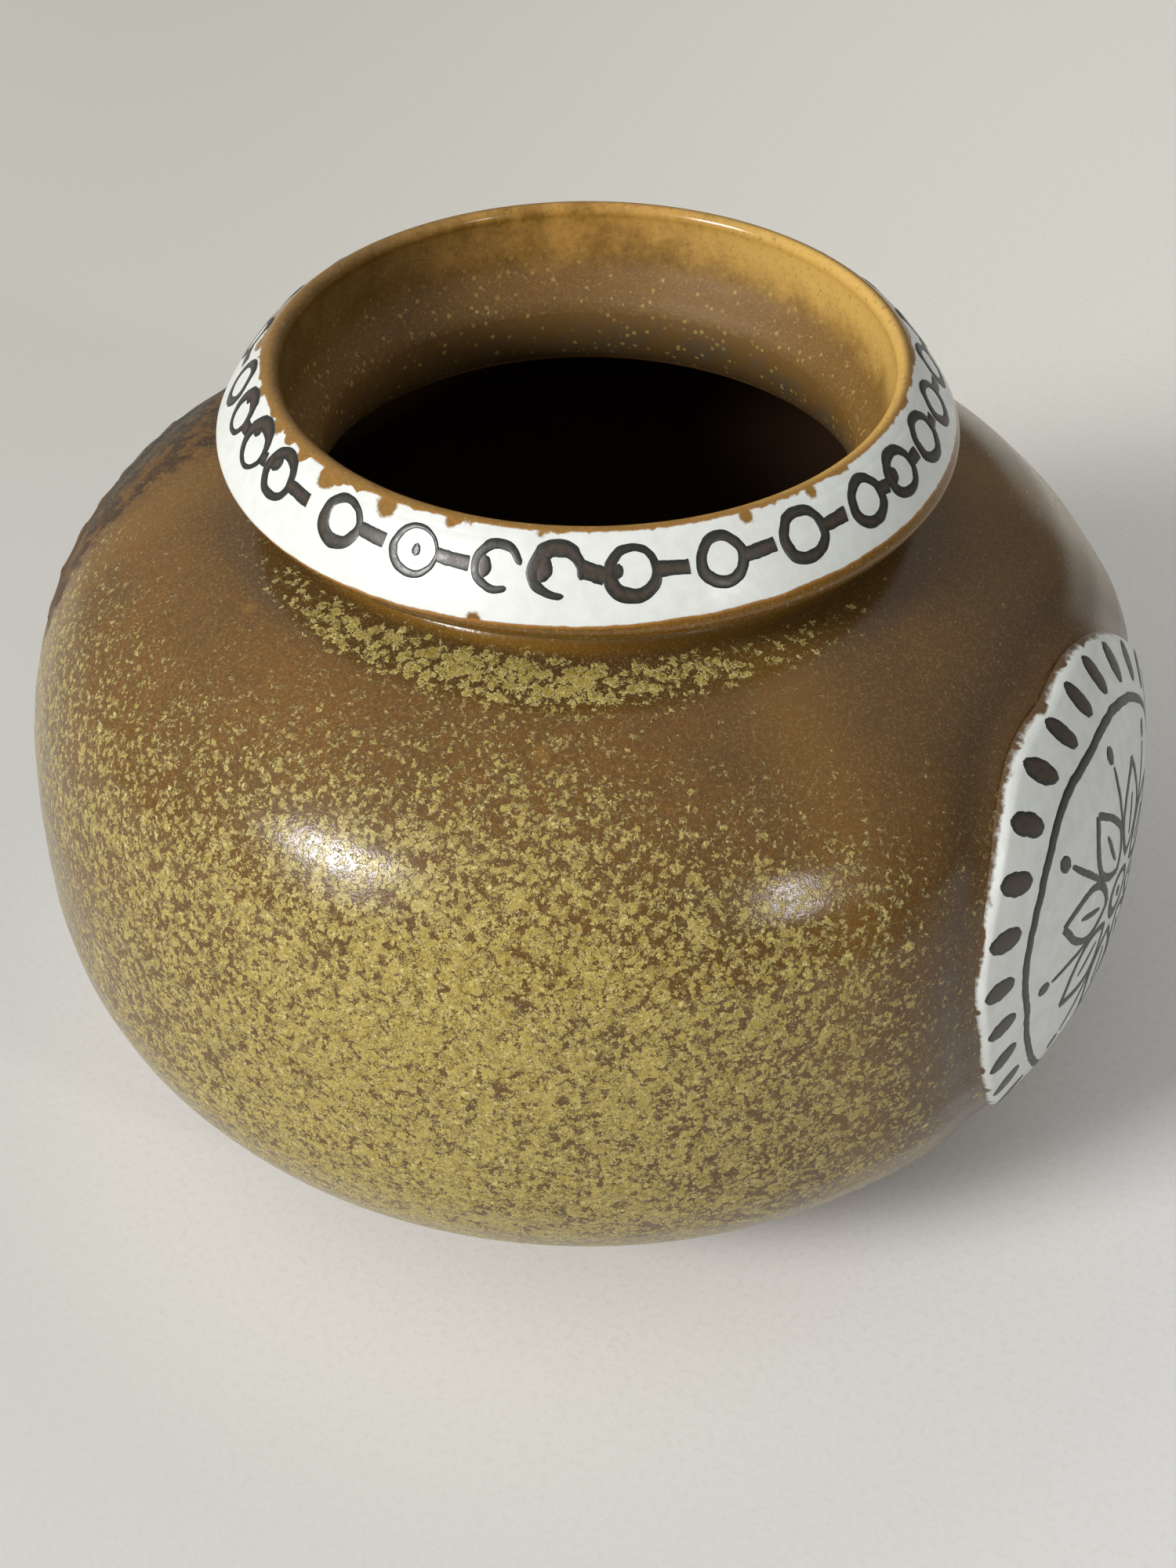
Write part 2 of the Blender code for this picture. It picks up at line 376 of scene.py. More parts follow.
def turned(name, line, sides, closed, shift=None):
    # a solid of revolution; shift moves the surface out or in by a function of place
    ways = outward(line, closed)
    turns = np.arange(sides) * tau / sides
    across, height, down = [np.repeat(values[:, None], sides, axis=1) for values in line.T]
    if shift is not None:
        move = shift(across * np.cos(turns), across * np.sin(turns), height, down)
        across, height = across + move * ways[:, 0:1], height + move * ways[:, 1:2]
    points = np.stack([across * np.cos(turns), across * np.sin(turns), height], axis=2).reshape(-1, 3)
    index = np.arange(len(line) * sides).reshape(len(line), sides)
    upper = index if closed else index[:-1]
    lower = np.roll(index, -1, axis=0) if closed else index[1:]
    quads = np.stack([upper, lower, np.roll(lower, -1, axis=1), np.roll(upper, -1, axis=1)], axis=2)
    mesh = newMesh(name, points.tolist(), [], quads.reshape(-1, 4).tolist())
    mesh.attributes.new("down", "FLOAT", "POINT").data.foreach_set("value", down.ravel().astype(np.float32))
    if not closed:
        closePoles(mesh)
    shadeSmooth(mesh, 50.0)
    return newObject(name, mesh)


def closePoles(mesh):
    # each end of an open line lies on the axis, where its ring of points becomes one
    form = bmesh.new()
    form.from_mesh(mesh)
    bmesh.ops.remove_doubles(form, verts=form.verts, dist=1e-6)
    form.to_mesh(mesh)
    form.free()


def dress(piece, material, slot, *nodes):
    piece.data.materials.clear()
    piece.data.materials.append(material)
    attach(piece, "root")
    if nodes:
        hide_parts(*nodes)
    return piece


# Pads: the round white medallions, one on each side
pad = {
    "radius": 31.5 * mm,
    "height": 51.5 * mm,
    "proud": 0.7 * mm,
    "leftProud": 1.2 * mm,  # its edge shows on the outline
    "rim": 0.9 * mm,  # how far in from the edge the pad begins to round over
    "sunk": 0.6 * mm,
    "lumps": 0.45 * mm,  # thick dark strokes that notch the left pad's outline
    "bulge": 2.9 * mm,  # the right pad reaches further out above its front side
    "bulgeTurn": 142.0,
    "bulgeFrom": 0.72,
    "lumpCount": 32.0,
    "lumpsFrom": (5.0 * mm, 2.2 * mm),  # distances in from the edge where they rise and fall
    "lumpsTo": (0.3 * mm, 1.0 * mm),
    "rings": 70,
    "crowding": 1.8,  # brings the rings closer together towards the edge
    "spokes": 256,
}


def smooth(value, low, high):
    share = np.clip((value - low) / (high - low), 0.0, 1.0)
    return share * share * (3.0 - 2.0 * share)


def padBulge(y, v):
    # how much further than a circle the right pad reaches, towards a place beside and above its middle
    turn = radians(pad["bulgeTurn"])
    share = (y * cos(turn) + v * sin(turn)) / np.maximum(np.hypot(y, v), 0.001 * mm)
    return pad["bulge"] * smooth(share, pad["bulgeFrom"], 1.0)


def padDistance(x, y, z):
    # distance from a pad's centre line, which lies along X; far away off the pads' sides
    v = z - pad["height"]
    away = np.hypot(y, v) - np.where(x > 0.0, padBulge(y, v), 0.0)
    return np.where(np.abs(x) > pad["radius"], away, 1.0)


def makePad(name, side):
    # rings of points about the pad's middle, laid on the belly, with an edge that rounds into the body
    shares = np.linspace(0.0, 1.0, pad["rings"] + 1)[1:]
    radii = pad["radius"] * (1.0 - (1.0 - shares) ** pad["crowding"])
    turns = np.arange(pad["spokes"]) * tau / pad["spokes"]
    reach = 1.0 + padBulge(np.cos(turns), np.sin(turns)) / pad["radius"] * (side > 0.0)
    y = (radii[:, None] * np.cos(turns) * reach).ravel()
    v = (radii[:, None] * np.sin(turns) * reach).ravel()
    over = np.clip((radii - pad["radius"] + pad["rim"]) / pad["rim"], 0.0, 1.0)
    crown = pad["proud"] if side > 0.0 else pad["leftProud"]
    proud = crown - (crown + pad["sunk"]) * (1.0 - np.sqrt(1.0 - over**2))
    proud = np.repeat(proud, pad["spokes"])
    if side < 0.0:
        lump = 0.5 + 0.5 * np.cos(turns * pad["lumpCount"] + 1.5 * np.sin(turns * 3.0))
        atRim = smooth(pad["radius"] - radii, *pad["lumpsFrom"])
        atRim *= smooth(pad["radius"] - radii, *pad["lumpsTo"])
        proud -= (pad["lumps"] * atRim[:, None] * lump).ravel()
    top = padSurface(y, v, proud)
    rim = slice(-pad["spokes"], None)
    under = -2.0 * pad["sunk"]
    back = padSurface(y[rim] * 0.97, v[rim] * 0.97, np.full(pad["spokes"], under))
    centre, deep = [padSurface(np.zeros(1), np.zeros(1), np.array([out])) for out in (crown, under)]
    points = np.vstack([top, back, centre, deep])
    points[:, 0] *= side
    index = np.arange((pad["rings"] + 1) * pad["spokes"]).reshape(-1, pad["spokes"])
    after = np.roll(index, -1, axis=1)
    quads = np.stack([index[:-1], index[1:], after[1:], after[:-1]], axis=2).reshape(-1, 4).tolist()
    middle, bottom = len(points) - 2, len(points) - 1
    fans = [(middle, int(a), int(b)) for a, b in zip(index[0], after[0])]
    fans += [(bottom, int(b), int(a)) for a, b in zip(index[-1], after[-1])]
    faces = quads + fans
    if side < 0.0:
        faces = [tuple(reversed(face)) for face in faces]
    mesh = newMesh(name, points.tolist(), [], faces)
    shadeSmooth(mesh, 60.0)
    return newObject(name, mesh)


def padSurface(y, v, proud):
    # the belly's surface at a place across and above a pad's middle, moved out by proud
    z = pad["height"] + v
    radius = np.array([bellyRadiusAt(height) for height in z]) + proud
    return np.column_stack([np.sqrt(np.maximum(radius**2 - y**2, 0.0)), y, z])


# Relief: the valley and ridge that the glaze leaves round the pads, and what the thrower's hand left
bodyRelief = {
    "valley": 0.32 * mm,
    "valleyAt": 2.4 * mm,
    "valleyWidth": 2.0 * mm,
    "ridge": 0.28 * mm,
    "ridgeAt": 9.5 * mm,
    "ridgeWidth": 4.0 * mm,
    "underPad": 0.7 * mm,
    "throwing": 0.035 * mm,
    "throwingPitch": 5.6 * mm,
    "lean": 0.8 * mm,  # the shoulder is lower on one side
    "leanTurn": 28.0,
}


def bodyShift(x, y, z, down):
    # how far the body's outside moves out at each point; the hollow inside stays
    size = bodyRelief
    away = padDistance(x, y, z) - pad["radius"]
    move = -size["valley"] * np.exp(-(((away - size["valleyAt"]) / size["valleyWidth"]) ** 2))
    move += size["ridge"] * np.exp(-(((away - size["ridgeAt"]) / size["ridgeWidth"]) ** 2))
    move -= size["underPad"] * smooth(-away, 0.0, 3.0 * mm)
    turn = np.arctan2(y, x)
    wave = np.sin(tau * z / size["throwingPitch"] + turn + 0.8 * np.sin(2.0 * turn))
    move += size["throwing"] * wave * smooth(down, 8.0 * mm, 20.0 * mm)
    shoulder = smooth(down, 4.0 * mm, 16.0 * mm) * smooth(down, 52.0 * mm, 30.0 * mm)
    move -= size["lean"] * shoulder * np.cos(turn - radians(size["leanTurn"]))
    return move * (down > 0.0)


def makeBody():
    innerBottom = body["seat"] + body["floor"]
    inside = bellyLine(lines["throat"][0], innerBottom, grown=-body["wall"])[::-1]
    floor = evenly([(0.0, innerBottom), inside[0]], body["innerStep"])
    inside = evenly(inside, body["innerStep"])
    throat = arc(lines["throat"], neck["throatRound"], 270.0, lines["throatSeam"])
    throat = evenly(throat, 2.0 * neck["step"])
    ledge = evenly([throat[-1], (neck["radius"], lines["seam"])], body["innerStep"])
    hollow = arc((lines["hollow"], lines["seam"]), neck["hollow"], 180.0, 270.0 - lines["fall"])
    hollow = evenly(hollow, neck["step"], seam="start")
    outside = evenly(bellyLine(lines["meet"], body["seat"]), body["outerStep"])
    seat = evenly([outside[-1], (0.0, body["seat"])], body["innerStep"])
    start = len(joined(floor, inside, throat, ledge)) - 1
    line = measured(joined(floor, inside, throat, ledge, hollow, outside, seat), start)
    return turned("glazedBody", line, body["sides"], closed=False, shift=bodyShift)


# Collar: the flared ring over the neck
collar = {
    "radius": 46.1 * mm,
    "edge": 2.0 * mm,
    "faceHeight": 7.8 * mm,
    "roundness": 1.15,
    "inside": 37.5 * mm,
    "lip": 38.9 * mm,
    "bead": 1.2 * mm,
    "lipTurn": 40.0,
    "lipInside": 200.0,
    "step": 0.33 * mm,
    "softening": 50,  # passes over the inside, where throwing leaves no corner
    "lipSoftening": 4,
    "held": 14,  # points beside the seam that stay on the throat's round
    "sides": 380,
}
edgeHeight = lines["seam"] + neck["hollow"] + collar["edge"]
lipHeight = edgeHeight + collar["faceHeight"]


def faceLine(steps=80):
    # down the collar's sloping face, from the lip to the widest ring
    turn = radians(collar["lipTurn"])
    start = collar["lip"] + collar["bead"] * cos(turn)
    reach, drop = collar["radius"] - start, lipHeight + collar["bead"] * sin(turn) - edgeHeight
    power = 2.0 / collar["roundness"]
    angles = [pi / 2.0 * i / steps for i in range(steps + 1)]
    return [(start + reach * sin(a) ** power, edgeHeight + drop * cos(a) ** power) for a in angles]


def roundedEdge(end=-90.0):
    return arc((collar["radius"] - collar["edge"], edgeHeight), collar["edge"], 0.0, end)


def outsideLine(end=-90.0):
    # the face and the rounded edge in one, each point with its distance down from the lip
    return measured(np.array(faceLine() + roundedEdge(end)[1:]), 0)


def softened(line, times, held=1):
    # eases the corners of a line without moving its ends, and less beside its start
    share = np.minimum(np.arange(1, len(line) - 1) / held, 1.0)[:, None]
    line = line.copy()
    for _ in range(times):
        line[1:-1] += share * ((line[:-2] + 2.0 * line[1:-1] + line[2:]) / 4.0 - line[1:-1])
    return line


def makeCollar():
    lip = (collar["lip"], lipHeight)
    up = arc(lines["throat"], neck["throatRound"], lines["throatSeam"], neck["throatTop"])
    up.append((collar["inside"], edgeHeight))
    bead = arc(lip, collar["bead"], collar["lipInside"], collar["lipTurn"])
    inner = softened(evenly(up + bead[:1], collar["step"]), collar["softening"], collar["held"])
    inner = evenly(inner, collar["step"], seam="start")
    bead = softened(evenly([tuple(inner[-1])] + bead[1:], collar["step"] / 2.0), collar["lipSoftening"])
    face = evenly(faceLine(), collar["step"])
    edge = evenly(roundedEdge(), collar["step"])
    under = arc((lines["hollow"], lines["seam"]), neck["hollow"], 90.0, 180.0)
    under = evenly(under, neck["step"], seam="end")
    line = joined(inner, bead, face, edge, under)
    line = measured(line, len(joined(inner, bead)) - 1)
    return turned("glazedCollar", line, collar["sides"], closed=True)


# White band: a thick coat of white laid over the collar's face
band = {
    "first": 0.5 * mm,  # distances down the face from the lip
    "edgeEnd": -50.0,  # degrees round the collar's rounded edge
    "coat": 0.08 * mm,
    "buried": 0.05 * mm,
    "fade": 1.5 * mm,
    "step": 0.25 * mm,
    "sides": 512,
}


def bandRise(down):
    # how far the coat stands out of the face, with both its edges under the glaze
    face = measured(np.array(faceLine()), 0)
    last = face[-1, 2] + collar["edge"] * radians(-band["edgeEnd"])
    rise = smooth(down, band["first"], band["first"] + band["fade"]) * smooth(last - down, 0.0, band["fade"])
    return (band["coat"] + band["buried"]) * rise - band["buried"]


def makeBand():
    whole = outsideLine(band["edgeEnd"])
    at = np.linspace(band["first"], whole[-1, 2], int((whole[-1, 2] - band["first"]) / band["step"]))
    outer = between(at, whole[:, 2], whole)
    outer[:, :2] += outward(outer, closed=False) * bandRise(at)[:, None]
    inner = outer[::-3].copy()
    inner[:, :2] -= outward(inner[::-1], closed=False)[::-1] * 2.0 * band["buried"]
    return turned("whiteBand", np.vstack([outer, inner]), band["sides"], closed=True)


# Foot ring: bare clay under the belly
foot = {
    "radius": 31.0 * mm,
    "width": 7.0 * mm,
    "flare": 1.0 * mm,
    "edge": 0.8 * mm,
    "gap": 0.05 * mm,
    "step": 0.5 * mm,
    "sides": 256,
}


def makeFoot():
    top = body["seat"] - foot["gap"]
    outer = foot["radius"] - foot["flare"]
    inner = foot["radius"] - foot["width"]
    edge = foot["edge"]
    line = [(foot["radius"], top)] + arc((outer - edge, edge), edge, 0.0, -90.0, 8)
    line += arc((inner + foot["flare"] + edge, edge), edge, 270.0, 180.0, 8)
    line += [(inner, top), (foot["radius"], top)]
    line = evenly(line, foot["step"])[:-1]
    return turned("footRing", measured(line, 0), foot["sides"], closed=True)


# Glaze colours, as they look on a screen
colours = {
    "brown": (102, 69, 20),
    "darkBrown": (90, 63, 21),
    "redBrown": (106, 68, 20),
    "plum": (74, 55, 34),
    "ochre": (134, 97, 36),
    "gold": (178, 134, 64),
    # painted light and painted shade on the gold inside the collar
    "brightGold": (200, 160, 82),
    "dimGold": (84, 60, 20),
    "olive": (132, 113, 46),
    "paleOlive": (166, 147, 74),
    "needle": (214, 198, 132),
    "gap": (72, 54, 25),
    "inside": (52, 32, 14),
    "white": (212, 215, 211),
    "dimWhite": (197, 200, 194),
    "orange": (158, 108, 48),
    "throatGrey": (78, 72, 62),
    "inkEdge": (24, 26, 20),
    "inkMiddle": (60, 49, 38),
    "thinInk": (104, 98, 88),
    "inkOnWhite": (110, 114, 110),
    "clay": (168, 140, 112),
    "clayStain": (120, 88, 62),
    "clayGrit": (70, 50, 36),
    "room": (207, 206, 199),
    # the table's tones: painted lighter to the right as painted light, and lifted round the foot as painted
    # bounce light
    "tableNear": (198, 198, 194),
    "tableNearRight": (220, 220, 219),
    "tableFar": (196, 194, 187),
    "tableFarRight": (222, 221, 213),
    "tableByFoot": (234, 232, 228),
    "tableFibre": (190, 187, 179),
}
colours = {name: paint(*values) for name, values in colours.items()}

# Crystal glaze: the scales count features to a metre
crystal = {
    "small": 1150.0,
    "large": 860.0,
    "ragged": 950.0,
    "raggedBy": 2.4 * mm,
    "grain": 2600.0,
    "light": 0.052,  # how wide the threads are, as shares of their noise
    "fine": 0.055,
    "dark": 0.060,
    "roughness": 0.26,
    "brownRoughness": 0.17,
    "depth": 0.13 * mm,
    "strength": 0.95,
}
glazeShine = {"Specular IOR Level": 0.42}
reliefDepth = {
    "collar": 0.06 * mm,
    "pad": 0.05 * mm,
    "clay": 0.12 * mm,
    "ink": 0.03 * mm,
    "table": 0.05 * mm,
}


def threads(finish, scale, thin, warp, place=None):
    # thin wandering lines, broken into short lengths
    line = finish.hump(finish.noise(scale, 1.0, 0.5, warp, place), 0.5, thin)
    return line * finish.ease(finish.noise(scale * 1.3, 1.0), 0.44, 0.54)


def flakes(finish, place, scale, grown):
    # one crystal to a cell, of any size up to one that meets its neighbours
    cell = finish.cells(scale, place)
    share, tone, _ = finish.split(cell.also("Color"))
    return grown * (0.62 + share * 0.66) - cell, tone


def crystals(finish, density, base, coarse):
    # ragged olive crystals in a brown glaze: flakes that close up as they grow, larger where it pooled
    size, ease = crystal, finish.ease
    ragged = finish.noise(size["ragged"], 3.0, 0.72).also("Color")
    ragged = finish.scaled(finish.vector("SUBTRACT", ragged, (0.5,) * 3), size["raggedBy"])
    place = finish.vector("ADD", finish.place, ragged)
    grown = density * 1.04
    small, smallTone = flakes(finish, place, size["small"], grown)
    large, largeTone = flakes(finish, place, size["large"], grown)
    uneven = finish.noise(260.0, 2.0, 0.6)
    grain = finish.noise(size["grain"], 2.0, 0.7)
    mix = finish.maths("MAXIMUM", ease(uneven, 0.48, 0.62), coarse)
    over = finish.blend(mix, small, large) + (uneven - 0.5) * 0.22 + (grain - 0.5) * 0.08
    over = over + (finish.noise(430.0, 2.0, 0.6, 0.6) - 0.5) * density * 0.75
    cover = ease(over, -0.05, 0.07)
    halo = ease(over, -0.32, 0.0) * (1.0 - cover)
    rim = finish.hump(over, 0.07, 0.06)
    light = threads(finish, 1150.0, size["light"], 0.9, place)
    fine = threads(finish, 1900.0, size["fine"], 0.6)
    dark = threads(finish, 880.0, size["dark"], 1.3, place)
    tone = ease(finish.blend(mix, smallTone, largeTone) * 0.5 + grain * 0.8 - 0.15, 0.2, 0.65)
    olive = finish.tint(tone, "olive", "paleOlive")
    pale = light * (cover * 0.8 + halo * 0.7) + fine * (cover * 0.5 + 0.12) + rim * (0.25 + coarse * 0.75)
    colour = finish.coats(
        base,
        (halo * 0.5, "gap"),
        (cover * (0.66 + density * 0.30), olive),
        (dark * (0.15 + cover), "gap"),
        (pale * 0.9, "needle"),
    )
    height = cover * 0.42 + light * 0.35 * cover + grain * 0.16
    roughness = finish.blend(cover, size["brownRoughness"], size["roughness"]) + (grain - 0.5) * 0.10
    return colour, roughness, height


def brownBase(finish):
    # brown that drifts over the pot, mottled from near and finely speckled
    wide = finish.noise(70.0, 3.0, 0.6)
    close = finish.noise(420.0, 3.0, 0.65)
    speck = finish.noise(2100.0, 3.0, 0.75)
    return finish.coats(
        "darkBrown",
        (finish.ease(wide, 0.36, 0.64), "brown"),
        (finish.ease(close, 0.40, 0.72, 0.0, 0.6), "redBrown"),
        (finish.ease(speck, 0.50, 0.66, 0.0, 0.35), "ochre"),
        (finish.ease(speck, 0.50, 0.34, 0.0, 0.40), "gap"),
    )


def edgeNoise(finish):  # a broad wander and a ragged grain, for where one glaze ends
    return finish.noise(230.0, 2.0, 0.55), finish.noise(1000.0, 3.0, 0.7)


def sideShare(finish, turn):
    # from -1 to 1 round the vase, 1 on the side at this turn
    flat = finish.vector("MULTIPLY", finish.place, (1.0, 1.0, 0.0))
    return finish.dot(finish.vector("NORMALIZE", flat), around(1.0, turn))


def padAway(finish):
    # distance from the pads' centre line, less where the right pad reaches further out
    lifted = finish.vector("SUBTRACT", finish.place, (0.0, 0.0, pad["height"]))
    flat = finish.vector("MULTIPLY", lifted, (0.0, 1.0, 1.0))
    turn = radians(pad["bulgeTurn"])
    share = finish.dot(finish.vector("NORMALIZE", flat), (0.0, cos(turn), sin(turn)))
    bulge = finish.ease(share, pad["bulgeFrom"], 1.0) * pad["bulge"]
    return finish.length(flat) - bulge * finish.ease(finish.x, -1.0 * mm, 1.0 * mm)


# How much of the glaze the crystals cover, by millimetres down from the neck's narrowest ring
growth = (
    (0.0, 0.04), (2.5, 0.08), (4.5, 0.50), (6.0, 0.70), (8.5, 0.68), (11.0, 0.40), (13.0, 0.28),
    (17.0, 0.31), (20.5, 0.38), (24.0, 0.45), (29.0, 0.53), (37.0, 0.65), (46.0, 0.72), (80.0, 0.76),
    (100.0, 0.72), (120.0, 0.25),
)
growthReach = 125.0 * mm

# Small pale spots where bubbles burst: height, turn and radius
pinholes = ((92.1, -119.0, 0.9), (90.4, -69.7, 1.0))

# Where the crystals keep away and what tints show there: distances down from the neck's narrowest ring,
# or out from a pad's middle
spread = {
    "valleyTop": (2.0 * mm, 4.5 * mm),
    "valleyFoot": (12.5 * mm, 9.0 * mm),
    "nearPad": (48.0 * mm, 34.0 * mm),
    "plumRing": (34.5 * mm, 5.0 * mm),
    "ochreRing": (47.0 * mm, 5.0 * mm),
    "ochreNeck": (4.2 * mm, 1.0 * mm),
    "least": 0.02,
    "most": 0.93,
}

# The left pad's surroundings, seen edge-on: dark, rough and broken by ochre spots
leftDark = {
    "heights": (60.0 * mm, 78.0 * mm),
    "reach": (36.0 * mm, 45.5 * mm),  # how far out it goes at these heights
    "begins": (-20.0 * mm, -36.0 * mm),
    "ragged": 6.0 * mm,
    "soft": 3.0 * mm,
    "shades": (43.0 * mm, 36.0 * mm),
    "roughness": 0.55,
}

# The slope inside the neck, with a thin orange line where its glaze ran off
throatLook = {
    "line": 88.9 * mm,
    "lineWidth": 0.9 * mm,
    "below": (88.7 * mm, 86.5 * mm),
    "grey": (93.5 * mm, 5.0 * mm),
    "greyWander": 6.0 * mm,
    # the darkening down into the neck: partly the glaze, partly painted shade
    "deep": (102.0 * mm, 90.0 * mm),
    "deepWander": 4.0 * mm,
    "roughness": 0.62,
}


def throatGlaze(finish):
    # speckled brown on the slope inside the neck, the same on both sides of the seam; ochre and grey are
    # painted stronger on the side the light falls on, as painted light, and it darkens further down into the
    # neck, partly browner glaze and partly painted shade
    ease = finish.ease
    broad, ragged = edgeNoise(finish)
    # the inner wall on this side faces the window: painted light
    right = ease(sideShare(finish, 40.0), -0.5, 0.8)
    look = throatLook
    grey = finish.hump(finish.z + (broad - 0.5) * look["greyWander"], *look["grey"])
    # darker further down into the neck: partly the glaze, partly painted shade
    deep = ease(finish.z + (broad - 0.5) * look["deepWander"], *look["deep"])
    cell = finish.cells(1150.0)
    share, _, _ = finish.split(cell.also("Color"))
    fleck = ease(share + (broad - 0.5) * 0.8, 0.72, 0.90) * ease(cell + (ragged - 0.5) * 0.4, 0.45, 0.20)
    return finish.coats(
        "brown",
        (ease(ragged, 0.35, 0.65), "darkBrown"),
        (right * 0.35, "ochre"),
        (grey * ease(broad, 0.42, 0.62) * (0.25 + right * 0.6), "throatGrey"),
        (deep * 0.8, "gap"),
        (fleck * 0.55, "paleOlive"),
    )


def bodyFinish():
    finish = Finish("crystalBrownGlaze")
    ease, hump = finish.ease, finish.hump
    down = finish.attribute("down")
    away = padAway(finish)
    # the crystals are fewer by the pads, on both sides and at the back of the valley under the neck
    stops = [(place * mm / growthReach, (share, share, share, 1.0)) for place, share in growth]
    grown = finish.node("ShaderNodeValToRGB", {"stops": stops}, {"Fac": down / growthReach})
    patches = finish.noise(45.0, 2.0, 0.5)
    front = ease(sideShare(finish, -72.0), 0.1, 0.92)
    valley = ease(down, *spread["valleyTop"]) * ease(down, *spread["valleyFoot"])
    nearPad = ease(away, *spread["nearPad"])
    leftSide = ease(sideShare(finish, 200.0), 0.1, 0.9)
    # the side away from the window: fewer crystals and a plum tint, partly the glaze and partly painted
    # shade
    sparseAndShadedRight = ease(sideShare(finish, 0.0), 0.3, 0.95)
    density = grown * (1.0 - valley * (1.0 - front) * 0.7) + (patches - 0.5) * 0.26
    density = density - nearPad * 0.24 - leftSide * 0.25 - sparseAndShadedRight * 0.30
    density = finish.maths("MAXIMUM", density, spread["least"])
    density = finish.maths("MINIMUM", density, spread["most"])
    rough = finish.noise(440.0, 3.0, 0.7)
    reach = ease(finish.z, *leftDark["heights"], *leftDark["reach"])
    dark = ease(away - reach + (rough - 0.5) * leftDark["ragged"], 0.0, -leftDark["soft"])
    dark = dark * ease(finish.x, *leftDark["begins"])
    shade = finish.tint(ease(away, *leftDark["shades"]), "inside", "inkEdge")
    base = finish.coats(
        brownBase(finish),
        (valley * (0.3 + front * 0.4), "plum"),
        (sparseAndShadedRight * 0.4, "plum"),
        (hump(away, *spread["plumRing"]) * 0.85, "plum"),
        (hump(away, *spread["ochreRing"]) * 0.30, "ochre"),
        (dark * ease(rough, 0.62, 0.42, 0.15, 0.95), shade),
        (ease(down, *spread["ochreNeck"]) * 0.85, "ochre"),
    )
    for height, turn, radius in pinholes:
        place = around(bellyRadiusAt(height * mm), turn, height * mm)
        base = finish.tint(finish.spot(place, radius * mm, 1.4 * mm) * 0.55, base, "ochre")
    base = finish.tint(ease(density, 0.35, 0.75, 0.0, 0.45), base, "plum")
    colour, roughness, height = crystals(finish, density * (1.0 - dark), base, valley)
    # the glaze changes to the throat's at the narrowest ring
    inner = finish.coats(
        throatGlaze(finish),
        (hump(finish.z, throatLook["line"], throatLook["lineWidth"]) * 0.75, "orange"),
        (ease(finish.z, *throatLook["below"]), "inside"),
    )
    inside = ease(down, 0.0, -0.4 * mm)
    colour = finish.tint(inside, colour, inner)
    roughness = finish.blend(dark, roughness, leftDark["roughness"])
    roughness = finish.blend(inside, roughness, throatLook["roughness"])
    bumps = finish.relief(height, crystal["depth"], crystal["strength"])
    return finish.close(colour, roughness, bumps, glazeShine)


whiteEdge = {
    "bottom": 10.4 * mm,  # how far down the face the white reaches, on average
    "lean": 1.1 * mm,
    "leanTurn": 184.0,  # the side where it reaches lowest
    "top": -0.45 * mm,
    "leftTop": 0.55 * mm,
    "bite": 0.4 * mm,
    "leftBite": 1.0 * mm,
    "backTurn": 116.0,  # on the far side the ochre lip runs wider
    "backTop": 1.9 * mm,
    "chipRagged": 1.1 * mm,
    "chipWander": 1.2 * mm,
    "golden": (-0.5 * mm, -1.6 * mm),  # from the lip inwards
    "speckled": (-5.0 * mm, -12.0 * mm),
    "under": (12.0 * mm, 6.0 * mm),  # ochre fades to brown round the edge
}

# Where the ochre glaze broke through the white: turn, distance down the face and radius
chips = (
    (-141.0, 0.0, 1.1), (-129.0, 0.1, 1.3), (-111.0, 0.6, 1.7), (-98.0, 0.4, 1.4), (-86.0, -0.3, 1.0),
    (-71.5, -0.2, 0.6), (-38.0, 0.1, 0.9), (-25.0, -0.3, 0.8), (-80.0, 10.4, 1.0), (1.5, 9.8, 0.7),
)


def onFace(turn, down):
    # a place on the collar's outside at a distance down from the lip
    whole = outsideLine()
    radius, height, _ = between([down], whole[:, 2], whole)[0].tolist()
    return around(radius, turn, height)


def whiteGlaze(finish, scale, share, smoothest, roughest):
    # the white's tone and roughness, mottled together
    mottle = finish.noise(scale, 3.0, 0.6)
    tone = finish.tint(finish.ease(mottle, 0.3, 0.75, 0.0, share), "white", "dimWhite")
    return tone, finish.ease(mottle, 0.3, 0.7, smoothest, roughest)


